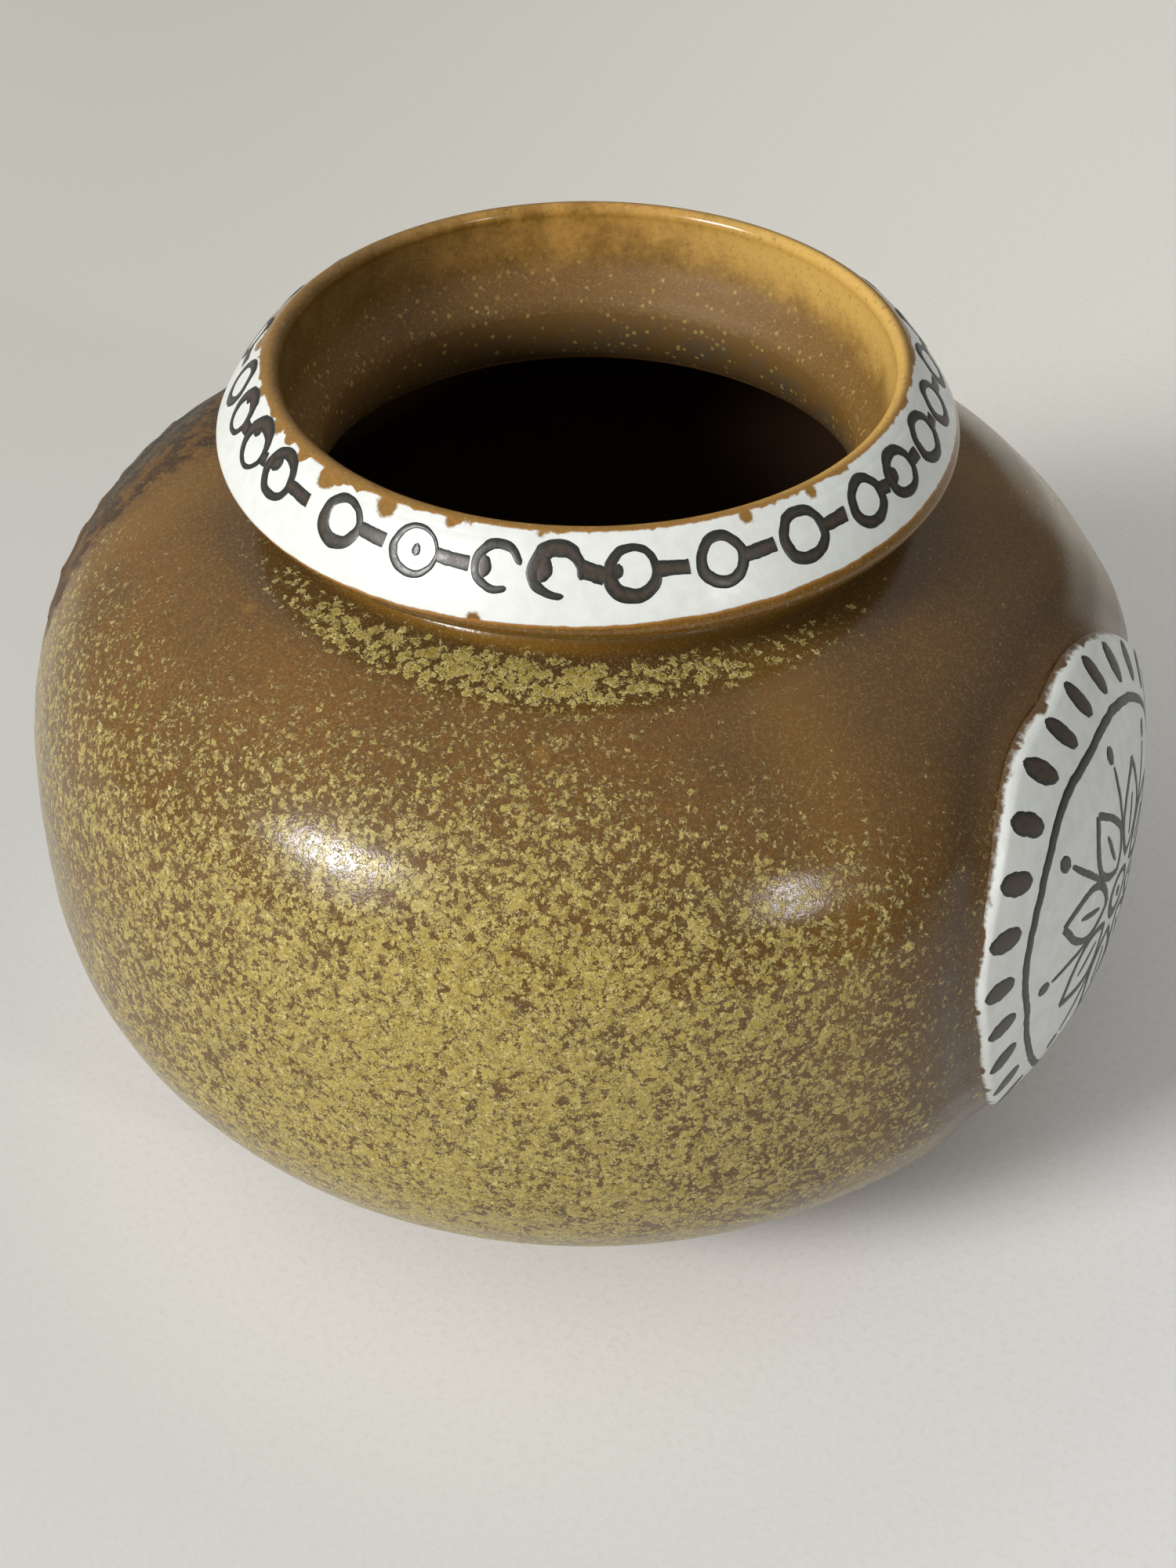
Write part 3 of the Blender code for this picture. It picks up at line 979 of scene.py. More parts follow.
def collarFinish():
    finish = Finish("collarGlaze")
    ease, edge = finish.ease, whiteEdge
    down = finish.attribute("down")
    broad, ragged = edgeNoise(finish)
    lean = sideShare(finish, edge["leanTurn"])
    left = ease(lean, -0.35, 0.8)
    back = ease(sideShare(finish, edge["backTurn"]), -0.25, 0.55)
    wander = (broad - 0.5) * 0.5 * mm + (ragged - 0.5) * 0.22 * mm
    bottom = edge["bottom"] + lean * edge["lean"] + wander
    bite = ease(broad + (ragged - 0.5) * 0.10, 0.50, 0.64) * (edge["bite"] + left * edge["leftBite"])
    top = edge["top"] + left * edge["leftTop"] + back * edge["backTop"] + bite + (ragged - 0.5) * 0.4 * mm
    white = ease(down - top, -0.10 * mm, 0.18 * mm) * ease(bottom - down, -0.08 * mm, 0.12 * mm)
    ring = finish.hump(down - bottom, 0.12 * mm, 0.30 * mm)
    ring = ring + finish.hump(down - top, -0.15 * mm, 0.40 * mm) * 0.4
    for turn, at, radius in chips:
        away = finish.vector("DISTANCE", finish.place, onFace(turn, at * mm), "Value")
        away = away + (ragged - 0.5) * edge["chipRagged"] + (broad - 0.5) * edge["chipWander"]
        white = white * ease(away, (radius - 0.35) * mm, (radius + 0.15) * mm)
    # ochre outside and on the lip, gold on the overhang inside, speckled brown below it; the gold is painted
    # lighter on the side the light falls on and darker opposite, as painted light and painted shade
    # painted light and shade: the side of the inside that faces the window is lighter
    paintedLitSide = sideShare(finish, 30.0)
    gold = finish.coats(
        "ochre",
        (ease(broad + (ragged - 0.5) * 0.5, 0.25, 0.75), "gold"),
        (ease(paintedLitSide, 0.1, 0.95), "brightGold"),
        (ease(paintedLitSide, 0.0, -0.9) * 0.75, "dimGold"),
    )
    deeper = ease(down + (broad - 0.5) * 4.0 * mm + (ragged - 0.5) * 3.0 * mm, *edge["speckled"])
    base = finish.coats(
        brownBase(finish),
        (ease(down, *edge["under"]) * 0.8, "ochre"),
        (ease(down, *edge["golden"]), gold),
        (deeper, throatGlaze(finish)),
    )
    density = 0.05 + ease(down, 13.0 * mm, 16.0 * mm) * 0.15
    glaze, roughness, height = crystals(finish, density, base, 0.0)
    tone, whiteRoughness = whiteGlaze(finish, 500.0, 0.6, 0.27, 0.38)
    colour = finish.coats(glaze, (finish.maths("MINIMUM", ring, 1.0) * 0.7, "orange"), (white, tone))
    bumps = finish.blend(white, height * 0.4 + 0.6, 0.7 + finish.noise(2600.0, 2.0, 0.6) * 0.25)
    roughness = finish.blend(ease(down, -2.0 * mm, -5.0 * mm), roughness, throatLook["roughness"])
    roughness = finish.blend(white, roughness, whiteRoughness)
    return finish.close(colour, roughness, finish.relief(bumps, reliefDepth["collar"], 0.7), glazeShine)


# The pads' white ends a little inside their rims, and more raggedly low down
padEdge = {
    "inset": 0.1 * mm,
    "leftInset": 1.3 * mm,
    "low": (42.0 * mm, 24.0 * mm),
    "bite": 0.25 * mm,
    "lowBite": 1.5 * mm,
    "ragged": 0.4 * mm,
    "burnt": (0.2 * mm, 0.45 * mm),
}


def padFinish():
    finish = Finish("padGlaze")
    ease, size = finish.ease, padEdge
    away = padAway(finish)
    broad = finish.noise(300.0, 2.0, 0.5)
    ragged = finish.noise(1100.0, 3.0, 0.7)
    low = ease(finish.z, *size["low"])
    leftward = ease(finish.x, 1.0 * mm, -1.0 * mm)
    bite = ease(broad, 0.52, 0.68) * (size["bite"] + low * size["lowBite"]) + leftward * size["leftInset"]
    edge = pad["radius"] - size["inset"] - bite + (ragged - 0.5) * size["ragged"]
    white = ease(edge - away, -0.10 * mm, 0.14 * mm)
    tone, roughness = whiteGlaze(finish, 420.0, 0.7, 0.3, 0.4)
    burnt = finish.hump(away - edge, *size["burnt"]) * low * 0.8
    colour = finish.coats(brownBase(finish), (0.7, "plum"), (burnt, "orange"), (white, tone))
    bumps = finish.relief(finish.noise(2600.0, 2.0, 0.6) + white * 0.5, reliefDepth["pad"], 0.6)
    return finish.close(colour, finish.blend(white, 0.3, roughness), bumps)


def clayFinish():
    finish = Finish("bareClay")
    grit = finish.noise(2200.0, 4.0, 0.7)
    stain = finish.noise(120.0, 3.0, 0.6)
    colour = finish.coats(
        "clay",
        (finish.ease(stain, 0.35, 0.7, 0.0, 0.7), "clayStain"),
        (finish.ease(grit, 0.6, 0.72, 0.0, 0.6), "clayGrit"),
    )
    roughness = finish.ease(grit, 0.3, 0.7, 0.75, 0.95)
    return finish.close(colour, roughness, finish.relief(grit, reliefDepth["clay"], 0.6))


def inkFinish():
    # the painter's dark oxide: nearly black at a stroke's edges, browner where the brush left it thin
    finish = Finish("paintedInk")
    ease = finish.ease
    across = finish.maths("ABSOLUTE", finish.attribute("across"))
    blotch = finish.noise(1100.0, 3.0, 0.65)
    fine = finish.noise(3200.0, 2.0, 0.6)
    fromEdge = (1.0 - across) * finish.attribute("halfWidth") + (blotch - 0.5) * 0.35 * mm
    middle = ease(fromEdge, 0.30 * mm, 0.95 * mm) * ease(blotch, 0.25, 0.6, 0.5, 1.0)
    colour = finish.coats(
        "inkEdge",
        (middle, "inkMiddle"),
        (ease(fine, 0.60, 0.78, 0.0, 0.20), "thinInk"),
        (ease(across, 0.90, 1.0, 0.0, 0.5), "inkOnWhite"),
    )
    bumps = finish.relief(fine, reliefDepth["ink"], 0.4)
    return finish.close(colour, ease(blotch, 0.3, 0.7, 0.3, 0.45), bumps)


def addPieces():
    brown, white, pale = bodyFinish(), collarFinish(), padFinish()
    dress(makeBody(), brown, "brown_glaze", "body")
    print("vase: body turned")
    dress(makeCollar(), white, "ochre_glaze", "collar")
    dress(makeBand(), white, "white_glaze", "white_band")
    print("vase: collar and band turned")
    dress(makeFoot(), clayFinish(), "bare_clay", "foot_ring")
    pads = []
    for side, name in ((1.0, "medallion_right"), (-1.0, "medallion_left")):
        pads.append(dress(makePad("pad_" + name, side), pale, "white_glaze", name))
    print("vase: pads laid on")
    return pads


pads = addPieces()


# Chain: painted rings joined by short bars, round the white band
chain = {
    "firstTurn": -165.8,  # degrees round the axis
    "steps": (15.0, 9.5, 10.1, 9.9, 16.5, 14.0, 13.3, 9.0, 11.2, 13.8, 14.2, 13.9, 10.1, 11.3, 10.7,
              12.1, 12.5),
    "backRings": 11,
    "down": 4.2 * mm,
    "ring": 2.62 * mm,  # to the middle of the stroke
    "stroke": 0.78 * mm,  # half its width
    "bar": 1.04 * mm,
    "wrap": 42.8 * mm,  # radius of the face at the chain
    "leastSpace": 0.3 * mm,  # rings closer than this have no bar between them
    "longestBar": 3.2 * mm,
    "step": 0.25 * mm,
    "seed": 3.0,
}

# Brush: how raised its paint is and how unsteadily it moves, for the chain and the medallions alike
brush = {
    "height": 0.07 * mm,
    "buried": 0.05 * mm,
    "across": 9,  # points across a stroke
    "thinnest": 0.12 * mm,  # where half the width is under this, the brush has left the glaze
    "ringSides": 96,
    "waver": {"scale": 500.0, "by": 0.35 * mm},
    "ringWaver": {"scale": 420.0, "by": 0.55 * mm},
    "width": {"scale": 1100.0, "by": 0.4},
    "ringWidth": {"scale": 900.0, "by": 0.35},
    "lift": (-0.22, 0.06),  # radians before and after a gap's end, over which it comes down again
}


def chainTurns():
    turns = [chain["firstTurn"]]
    for step in chain["steps"]:
        turns.append(turns[-1] + step)
    left = chain["firstTurn"] + 360.0 - turns[-1]
    count = chain["backRings"]
    return turns + [turns[-1] + left * (i + 1) / (count + 1) for i in range(count)]


# What the painter's hand did to single rings: the thick side, a blot inside and a lifted brush, in degrees,
# and how far, how steeply and how broadly the bar after it runs
hand = {
    2: {"thick": 0.4, "thickTurn": 110.0, "blot": 0.5, "blotTurn": 110.0},
    3: {"thick": 0.5, "thickTurn": 120.0, "blot": 0.9, "blotTurn": 130.0},
    4: {"thick": 0.2, "thickTurn": 140.0, "blot": 1.2, "blotTurn": 145.0},
    5: {"thick": 0.35, "thickTurn": 235.0},
    6: {"thick": 0.4, "thickTurn": 220.0, "pressure": 0.6, "blot": 0.75,
        "blotOut": 0.05, "reach": 1.25, "drop": 0.2},
    7: {"thick": 0.2, "thickTurn": 150.0, "pressure": 0.75, "blot": 1.3, "blotTurn": 185.0,
        "gap": 85.0, "gapTurn": 335.0, "reach": 1.3, "drop": 0.6, "barWide": 1.0},
    8: {"thick": 0.45, "thickTurn": 120.0, "blot": 1.5, "blotTurn": 170.0,
        "gap": 70.0, "gapTurn": 315.0, "reach": 1.2, "drop": 0.35, "barWide": 1.2},
    9: {"thick": 0.35, "thickTurn": 240.0, "blot": 0.85, "blotTurn": 175.0},
    12: {"reach": 1.2},
    13: {"thick": 0.15, "thickTurn": 170.0, "blot": 1.0, "blotTurn": 170.0},
}
plainHand = {
    "thick": 0.12, "thickTurn": 250.0, "pressure": 1.0, "blot": 0.0, "blotTurn": 0.0, "blotOut": 0.62,
    "gap": 0.0, "gapTurn": 0.0, "reach": 0.84, "drop": 0.0, "barWide": 1.0,
}


def onSpoke(out, angle, aside=0.0):
    return (out * cos(angle) - aside * sin(angle), out * sin(angle) + aside * cos(angle))


def drawing(name, spots, strokes):
    # a flat drawing: spots become rings and paths become strokes, each with its own numbers
    points = [spot["at"] for spot in spots]
    edges = []
    rows = [dict(spot) for spot in spots]
    for stroke in strokes:
        first = len(points)
        points += stroke["path"]
        edges += [(first + i, first + i + 1) for i in range(len(stroke["path"]) - 1)]
        rows += [stroke] * len(stroke["path"])
    mesh = newMesh(name, [(x, y, 0.0) for x, y in points], edges, [])
    for key in sorted({key for row in rows for key in row if key not in ("at", "path")}):
        values = [float(row.get(key, 0.0)) for row in rows]
        mesh.attributes.new(key, "FLOAT", "POINT").data.foreach_set("value", values)
    return newObject(name, mesh)


def chainDrawing():
    # x runs round the collar and y up its face; the rings' sizes and the bars' slopes wander a little
    turns = chainTurns()
    y = -chain["down"]
    spots, strokes = [], []
    for i, turn in enumerate(turns):
        own = dict(plainHand, **hand.get(i, {}))
        x = radians(turn) * chain["wrap"]
        radius = chain["ring"] * (1.0 + 0.04 * sin(2.4 * i))
        spots.append({
            "at": (x, y), "ringRadius": radius, "half": chain["stroke"] * own["pressure"],
            "thick": own["thick"], "thickTurn": radians(own["thickTurn"]),
            "gap": radians(own["gap"]) / 2.0, "gapTurn": radians(own["gapTurn"]),
        })
        if own["blot"]:
            aim = radians(own["blotTurn"])
            long = own["blot"] * mm
            ends = [onSpoke(radius * own["blotOut"], aim, aside) for aside in (-long, long)]
            ends = [(x + across, y + up) for across, up in ends]
            strokes.append({"path": ends, "half": 0.85 * long, "round": 1.0})
        following = turns[i + 1] if i + 1 < len(turns) else turns[0] + 360.0
        space = radians(following - turn) * chain["wrap"] - 2.0 * (chain["ring"] + chain["stroke"])
        if space > chain["leastSpace"]:
            start = x + chain["ring"]
            end = start + chain["stroke"] + min(space * own["reach"], chain["longestBar"])
            lift = 0.15 * mm * sin(1.7 * i) + own["drop"] * mm
            ends = [(start, y + lift), (end, y - lift)]
            strokes.append({"path": ends, "half": chain["bar"] * own["barWide"], "round": 0.0})
    return drawing("chainDrawing", spots, strokes)


def lineObject(name, points):
    edges = [(i, i + 1) for i in range(len(points) - 1)]
    return newObject(name, newMesh(name, [(r, 0.0, z) for r, z in points], edges, []))


def newTree(name, sizes):
    # a Geometry Nodes tree with one named input for each size
    tree = bpy.data.node_groups.new(name, "GeometryNodeTree")
    for end in ("INPUT", "OUTPUT"):
        tree.interface.new_socket("Geometry", in_out=end, socket_type="NodeSocketGeometry")
    for key, value in sizes.items():
        kind = "Float" if isinstance(value, float) else "Object"
        if isinstance(value, bpy.types.Material):
            kind = "Material"
        tree.interface.new_socket(key, in_out="INPUT", socket_type="NodeSocket" + kind)
    graph = Graph(tree)
    return graph, graph.node("NodeGroupInput", out="Geometry")


def plainMesh(source, tree, sizes):
    # runs a tree on an object and gives the plain mesh that comes out
    modifier = source.modifiers.new("nodes", "NODES")
    modifier.node_group = tree
    for item in tree.interface.items_tree:
        if item.in_out == "INPUT" and item.name in sizes:
            modifier[item.identifier] = sizes[item.name]
    bpy.context.view_layer.update()
    graph = bpy.context.evaluated_depsgraph_get()
    mesh = bpy.data.meshes.new_from_object(source.evaluated_get(graph), depsgraph=graph)
    bpy.data.objects.remove(source)
    return mesh


def named(graph, name):
    return graph.node("GeometryNodeInputNamedAttribute", {"data_type": "FLOAT"}, {"Name": name})


def stored(graph, geometry, name, value):
    settings = {"data_type": "FLOAT", "domain": "POINT"}
    inputs = {"Geometry": geometry, "Name": name, "Value": value}
    return graph.node("GeometryNodeStoreNamedAttribute", settings, inputs)


def moved(graph, geometry, **change):  # by an Offset or to a Position
    return graph.node("GeometryNodeSetPosition", inputs=dict(change, Geometry=geometry))


def shaking(graph, entry, scale):
    inputs = {"Scale": scale, "Detail": 1.0, "W": entry.also("Hand")}
    return graph.node("ShaderNodeTexNoise", {"noise_dimensions": "4D"}, inputs)


def wavering(graph, entry, size):
    # a small offset in the drawing's plane, as an unsteady hand gives
    away = graph.vector("SUBTRACT", shaking(graph, entry, size["scale"]).also("Color"), (0.5, 0.5, 0.5))
    return graph.vector("MULTIPLY", graph.scaled(away, size["by"]), (1.0, 1.0, 0.0))


def pressing(graph, entry, size):  # how much wider than drawn the stroke comes out
    return 1.0 + (shaking(graph, entry, size["scale"]) - 0.5) * size["by"]


def evenCurve(graph, curves, entry):
    inputs = {"Curve": curves, "Length": entry.also("Step")}
    return graph.node("GeometryNodeResampleCurve", {"mode": "LENGTH"}, inputs)


def ribbons(graph, curves, half):
    # sweeps flat brush strokes along curves, with half their width as a field
    ends = {"Start": (-1.0, 0.0, 0.0), "End": (1.0, 0.0, 0.0)}
    line = graph.node("GeometryNodeCurvePrimitiveLine", inputs=ends)
    line = graph.node("GeometryNodeResampleCurve", inputs={"Curve": line, "Count": brush["across"]})
    side, _, _ = graph.split(graph.node("GeometryNodeInputPosition"))
    line = stored(graph, line, "across", side)
    curves = stored(graph, curves, "halfWidth", half)
    inputs = {"Curve": curves, "Profile Curve": line, "Scale": half}
    ribbon = graph.node("GeometryNodeCurveToMesh", inputs=inputs)
    tooThin = graph.maths("LESS_THAN", named(graph, "halfWidth"), brush["thinnest"])
    inputs = {"Geometry": ribbon, "Selection": tooThin}
    return graph.node("GeometryNodeDeleteGeometry", {"domain": "FACE"}, inputs)


def brushRings(graph, entry):
    # a ring on each loose point, thick on one side and lifted in its gap
    loose = graph.node("GeometryNodeInputMeshVertexNeighbors", out="Vertex Count")
    isRing = graph.node("FunctionNodeCompare", {"data_type": "INT", "operation": "EQUAL"}, {2: loose, 3: 0})
    points = graph.node("GeometryNodeMeshToPoints", inputs={"Mesh": entry, "Selection": isRing})
    inputs = {"Resolution": brush["ringSides"], "Radius": 1.0}
    circle = graph.node("GeometryNodeCurvePrimitiveCircle", inputs=inputs)
    inputs = {"Points": points, "Instance": circle, "Scale": named(graph, "ringRadius")}
    rings = graph.node("GeometryNodeInstanceOnPoints", inputs=inputs)
    rings = evenCurve(graph, graph.node("GeometryNodeRealizeInstances", inputs={"Geometry": rings}), entry)
    turn = graph.node("GeometryNodeSplineParameter", out="Factor") * tau
    toThick = graph.maths("COSINE", turn - named(graph, "thickTurn"))
    half = named(graph, "half") * (1.0 + named(graph, "thick") * toThick)
    toGap = graph.maths("ARCCOSINE", graph.maths("COSINE", turn - named(graph, "gapTurn")))
    pressed = graph.ease(toGap - named(graph, "gap"), *brush["lift"])
    hasGap = graph.maths("GREATER_THAN", named(graph, "gap"), 0.01)
    half = half * graph.blend(hasGap, 1.0, pressed) * pressing(graph, entry, brush["ringWidth"])
    return ribbons(graph, moved(graph, rings, Offset=wavering(graph, entry, brush["ringWaver"])), half)


def brushStrokes(graph, entry):
    # a stroke along each edge, with square or round ends
    curves = graph.node("GeometryNodeMeshToCurve", inputs={"Mesh": entry})
    curves = evenCurve(graph, curves, entry)
    along = graph.node("GeometryNodeSplineParameter", out="Factor") * 2.0 - 1.0
    bow = graph.maths("SQRT", graph.maths("MAXIMUM", 1.0 - along * along, 0.0))
    half = named(graph, "half") * graph.blend(named(graph, "round"), 1.0, bow)
    half = half * pressing(graph, entry, brush["width"])
    return ribbons(graph, moved(graph, curves, Offset=wavering(graph, entry, brush["waver"])), half)


def raisedInk(graph, geometry, entry):
    # domes each flat stroke a little, with its edges below the glaze
    across = named(graph, "across")
    rise = graph.maths("SQRT", graph.maths("MAXIMUM", 1.0 - across * across, 0.0))
    top = (entry.also("Ink height") + entry.also("Ink buried")) * rise - entry.also("Ink buried")
    return moved(graph, geometry, Offset=graph.combine(0.0, 0.0, top))


def brushwork(graph, entry):
    both = graph.tree.nodes.new("GeometryNodeJoinGeometry")
    for part in (brushStrokes(graph, entry), brushRings(graph, entry)):
        graph.tree.links.new(part.socket, both.inputs[0])
    return raisedInk(graph, Wire(graph, both.outputs[0]), entry)


def laidOnFace(graph, geometry, entry):
    # rolls the flat drawing round the collar's face: x goes round it, y up it and z out of it
    face = graph.node("GeometryNodeObjectInfo", inputs={"Object": entry.also("Face line")}, out="Geometry")
    face = graph.node("GeometryNodeMeshToCurve", inputs={"Mesh": face})
    x, y, z = graph.split(graph.node("GeometryNodeInputPosition"))
    settings = {"mode": "LENGTH", "use_all_curves": True}
    at = graph.node("GeometryNodeSampleCurve", settings, {"Curves": face, "Length": -y}, "Position")
    radius, _, height = graph.split(at)
    out, _, rise = graph.split(at.also("Tangent"))
    radius = radius - rise * z
    height = height + out * z
    turn = x / entry.also("Wrap radius")
    rolled = graph.combine(radius * graph.maths("COSINE", turn), radius * graph.maths("SINE", turn), height)
    return moved(graph, geometry, Position=rolled)


def finished(graph, geometry, entry):
    done = graph.node("GeometryNodeRealizeInstances", inputs={"Geometry": geometry})
    done = graph.node("GeometryNodeSetShadeSmooth", inputs={"Geometry": done, "Shade Smooth": True})
    done = graph.node("GeometryNodeSetMaterial", inputs={"Geometry": done, "Material": entry.also("Ink")})
    graph.node("NodeGroupOutput", inputs={"Geometry": done})


def bandLine():
    # the band's outer surface, from the lip down, as the chain lies on it
    whole = outsideLine(band["edgeEnd"])
    return (whole[:, :2] + outward(whole, closed=False) * band["coat"]).tolist()


def painted(name, flat, laid, ink, size, own):
    # brushes a flat drawing and lays it on the vase; own holds the inputs that only this one has
    sizes = {"Ink": ink, "Ink height": brush["height"], "Ink buried": brush["buried"]}
    sizes = dict(sizes, Step=size["step"], **own)
    graph, entry = newTree(name + "Strokes", sizes)
    finished(graph, laid(graph, brushwork(graph, entry), entry), entry)
    return newObject(name, plainMesh(flat, graph.tree, sizes))


def makeChain(ink):
    face = lineObject("bandLine", bandLine())
    own = {"Face line": face, "Wrap radius": chain["wrap"], "Hand": chain["seed"]}
    thing = painted("paintedChain", chainDrawing(), laidOnFace, ink, chain, own)
    bpy.data.objects.remove(face)
    return thing


# Medallion design: a rosette of petals and berries inside a ring of short leaf strokes
rosette = {
    "petals": 8,
    "dot": 0.9 * mm,
    "centre": 3.1 * mm,
    "petalFrom": 5.2 * mm,
    "petalTo": 17.6 * mm,
    "petalWide": 3.5 * mm,
    "stemFrom": 10.5 * mm,
    "stemTo": 19.4 * mm,
    "berryAt": 21.0 * mm,
    "berry": 1.2 * mm,
    "ring": 24.4 * mm,
    "leaves": 28,
    "leafFrom": 26.4 * mm,
    "leafTo": 30.9 * mm,
    "leaf": 1.65 * mm,
    "stroke": 0.66 * mm,  # half its width
    "thin": 0.8,  # veins and stems are drawn thinner by this share
    "petalSteps": 12,
    "veinShort": (2.6 * mm, 4.4 * mm),  # how far the vein stops from the petal's ends
    "leafLean": 0.05,  # each leaf leans a little the same way
    "step": 0.3 * mm,
    "seed": 5.0,
}


def rosetteDrawing():
    size = rosette
    thin = size["stroke"] * size["thin"]
    middle = {"at": (0.0, 0.0), "half": size["stroke"]}
    spots = [
        dict(middle, ringRadius=size["centre"], half=size["stroke"] * 1.2, thick=0.2, thickTurn=4.0),
        dict(middle, ringRadius=size["ring"], thick=0.15, thickTurn=2.0),
    ]
    strokes = []

    def stroke(start, end, angle, half, roundness, lean=0.0):
        path = [onSpoke(start, angle), onSpoke(end, angle + lean)]
        strokes.append({"path": path, "half": half, "round": roundness})

    stroke(-size["dot"], size["dot"], pi / 2.0, size["dot"], 1.0)
    for i in range(size["petals"]):
        angle = tau * (i + 0.5) / size["petals"]
        for side in (-1.0, 1.0):
            path = []
            for k in range(size["petalSteps"] + 1):
                share = k / size["petalSteps"]
                out = size["petalFrom"] + (size["petalTo"] - size["petalFrom"]) * share
                path.append(onSpoke(out, angle, side * size["petalWide"] * sin(pi * share**0.85)))
            strokes.append({"path": path, "half": size["stroke"], "round": 0.0})
        vein = size["petalFrom"] + size["veinShort"][0], size["petalTo"] - size["veinShort"][1]
        stroke(*vein, angle, thin, 0.7)
        between = angle + pi / size["petals"]
        stroke(size["stemFrom"], size["stemTo"], between, thin, 0.5)
        stroke(size["berryAt"] - size["berry"], size["berryAt"] + size["berry"], between, size["berry"], 1.0)
    for i in range(size["leaves"]):
        angle = tau * i / size["leaves"]
        stroke(size["leafFrom"], size["leafTo"], angle, size["leaf"], 0.85, size["leafLean"])
    return drawing("rosetteDrawing", spots, strokes)


def laidOnPad(graph, geometry, entry):
    # throws the flat drawing straight on to a pad: x goes across it, y up it and z out of it
    target = graph.node("GeometryNodeObjectInfo", inputs={"Object": entry.also("Pad")}, out="Geometry")
    x, y, z = graph.split(graph.node("GeometryNodeInputPosition"))
    side = entry.also("Side")
    # the right drawing follows its pad's edge where that runs further out
    way = graph.vector("NORMALIZE", graph.combine(x, y, 0.0))
    share = graph.dot(way, around(1.0, pad["bulgeTurn"]))
    bulge = graph.ease(share, pad["bulgeFrom"], 1.0) * (pad["bulge"] / pad["radius"])
    reach = 1.0 + bulge * graph.maths("MAXIMUM", side, 0.0)
    above = y * reach + entry.also("Pad height")
    start = graph.combine(side * 4.0 * pad["radius"], x * side * reach, above)
    inputs = {"Target Geometry": target, "Source Position": start}
    inputs["Ray Direction"] = graph.combine(-side, 0.0, 0.0)
    hit = graph.node("GeometryNodeRaycast", inputs=inputs, out="Hit Position")
    place = graph.vector("ADD", hit, graph.scaled(hit.also("Hit Normal"), z))
    return moved(graph, geometry, Position=place)


def makeRosette(name, target, side, ink):
    own = {"Pad": target, "Side": side, "Pad height": pad["height"], "Hand": rosette["seed"] + side}
    return painted(name, rosetteDrawing(), laidOnPad, ink, rosette, own)


ink = inkFinish()
dress(makeChain(ink), ink, "white_glaze")
for thing, side, name in ((pads[0], 1.0, "rosetteRight"), (pads[1], -1.0, "rosetteLeft")):
    dress(makeRosette(name, thing, side, ink), ink, "white_glaze")
print("vase: chain and medallions painted")


# Light: two windows, as the two soft glints on the belly show, and a pale room
lampTint = (1.0, 0.99, 0.97)
lamps = {
    "key": {"turn": -52.0, "rise": 31.0, "away": 2.0, "wide": 0.56, "tall": 0.48, "power": 37.0},
    "side": {"turn": 41.0, "rise": 26.0, "away": 2.0, "wide": 0.15, "tall": 0.08, "power": 4.2},
}
room = {"low": 0.10, "high": 0.56, "windowSide": 0.34, "windowTurn": -80.0}


def makeLamp(name, size):
    # turn is measured from the camera's side of the vase, to the right
    rise = radians(size["rise"])
    aim = Vector(around(cos(rise), view["turn"] - 90.0 + size["turn"], sin(rise)))
    data = bpy.data.lights.new(name, "AREA")
    data.shape = "RECTANGLE"
    data.size = size["wide"]
    data.size_y = size["tall"]
    data.energy = size["power"]
    data.color = lampTint
    lamp = newObject(name, data)
    lamp.location = aim * size["away"] + Vector((0.0, 0.0, body["bellyHeight"]))
    lamp.rotation_euler = aim.to_track_quat("Z", "Y").to_euler()


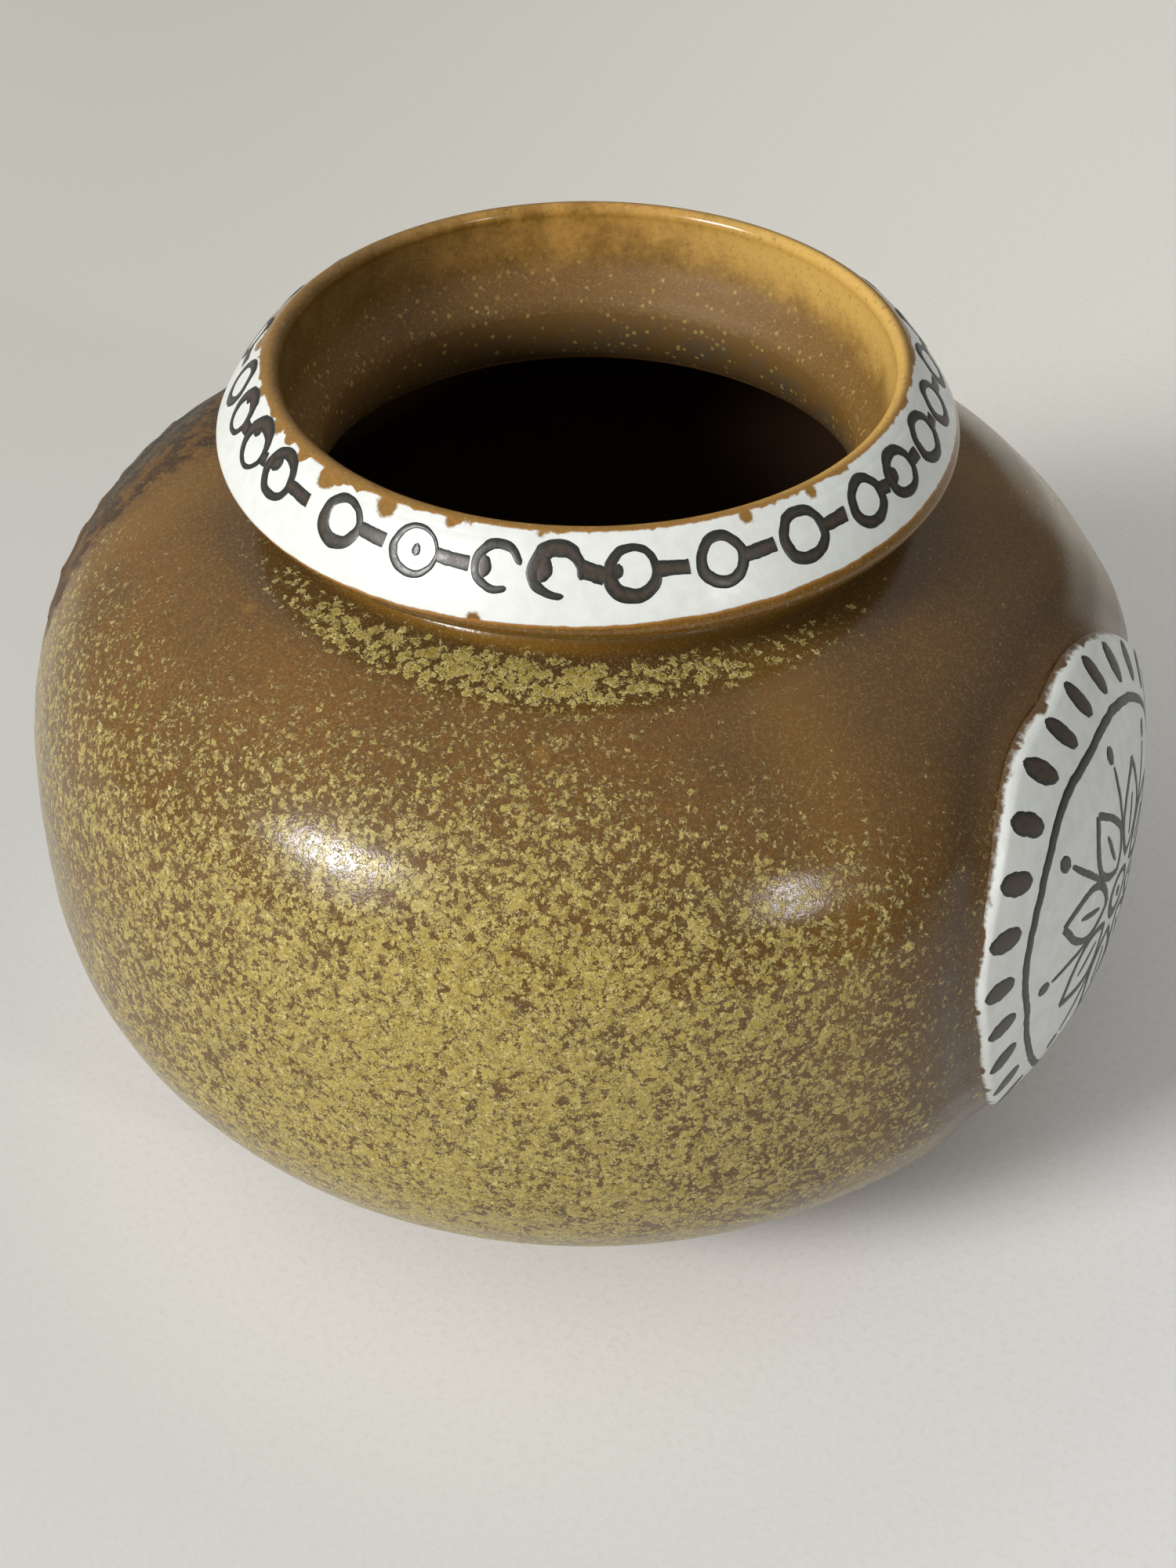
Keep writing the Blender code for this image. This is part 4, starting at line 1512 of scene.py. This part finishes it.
def makeRoom():
    world = bpy.data.worlds.new("paleRoom")
    world.use_nodes = True
    bpy.context.scene.world = world
    graph = Graph(world.node_tree)
    ray = graph.node("ShaderNodeLightPath", out="Is Camera Ray")
    # brighter overhead and towards the windows, dim at the far side of the room
    way = graph.node("ShaderNodeTexCoord", out="Generated")
    lean = graph.dot(way, around(1.0, view["turn"] - 90.0 + room["windowTurn"]))
    _, _, up = graph.split(way)
    strength = graph.ease(up, -0.1, 1.0, room["low"], room["high"])
    strength = strength + graph.ease(lean, -0.2, 1.0, 0.0, room["windowSide"])
    inputs = {"Color": (1.0, 0.99, 0.975, 1.0), "Strength": strength}
    light = graph.node("ShaderNodeBackground", inputs=inputs)
    seen = graph.node("ShaderNodeBackground", inputs={"Color": colours["room"], "Strength": 1.0})
    both = graph.node("ShaderNodeMixShader", inputs={0: ray, 1: light, 2: seen})
    graph.node("ShaderNodeOutputWorld", inputs={"Surface": both})


# Table: a pale top, painted lighter to the right and a little duller behind as painted light; its distances
# are in metres, across and behind as the camera sees them
table = {
    "half": 8.0,
    "across": (-0.14, 0.18),
    "behind": (-0.02, 0.20),
    "byFoot": (0.104, 0.056),
}


def makeFloor():
    half = table["half"]
    corners = [(-half, -half, 0.0), (half, -half, 0.0), (half, half, 0.0), (-half, half, 0.0)]
    floor = newObject("paleTable", newMesh("paleTable", corners, [], [(0, 1, 2, 3)]))
    finish = Finish("paleTableTop")
    ease = finish.ease
    # painted light: the top lighter towards the right and a little duller behind
    paintedLightRight = ease(finish.dot(finish.place, around(1.0, view["turn"])), *table["across"])
    far = ease(finish.dot(finish.place, around(1.0, view["turn"] + 90.0)), *table["behind"])
    near = finish.tint(paintedLightRight, "tableNear", "tableNearRight")
    beyond = finish.tint(paintedLightRight, "tableFar", "tableFarRight")
    # light thrown back from the glaze lifts the shade round the foot
    fromFoot = finish.length(finish.vector("MULTIPLY", finish.place, (1.0, 1.0, 0.0)))
    fibre = finish.noise(900.0, 3.0, 0.7)
    colour = finish.coats(
        near,
        (far, beyond),
        (ease(fromFoot, *table["byFoot"]) * 0.8, "tableByFoot"),
        (ease(fibre, 0.45, 0.7, 0.0, 0.2), "tableFibre"),
    )
    bumps = finish.relief(fibre, reliefDepth["table"], 0.5)
    floor.data.materials.append(finish.close(colour, ease(fibre, 0.3, 0.7, 0.7, 0.85), bumps))


for name, size in lamps.items():
    makeLamp(name + "Window", size)
makeRoom()
makeFloor()
print("vase: stage set")
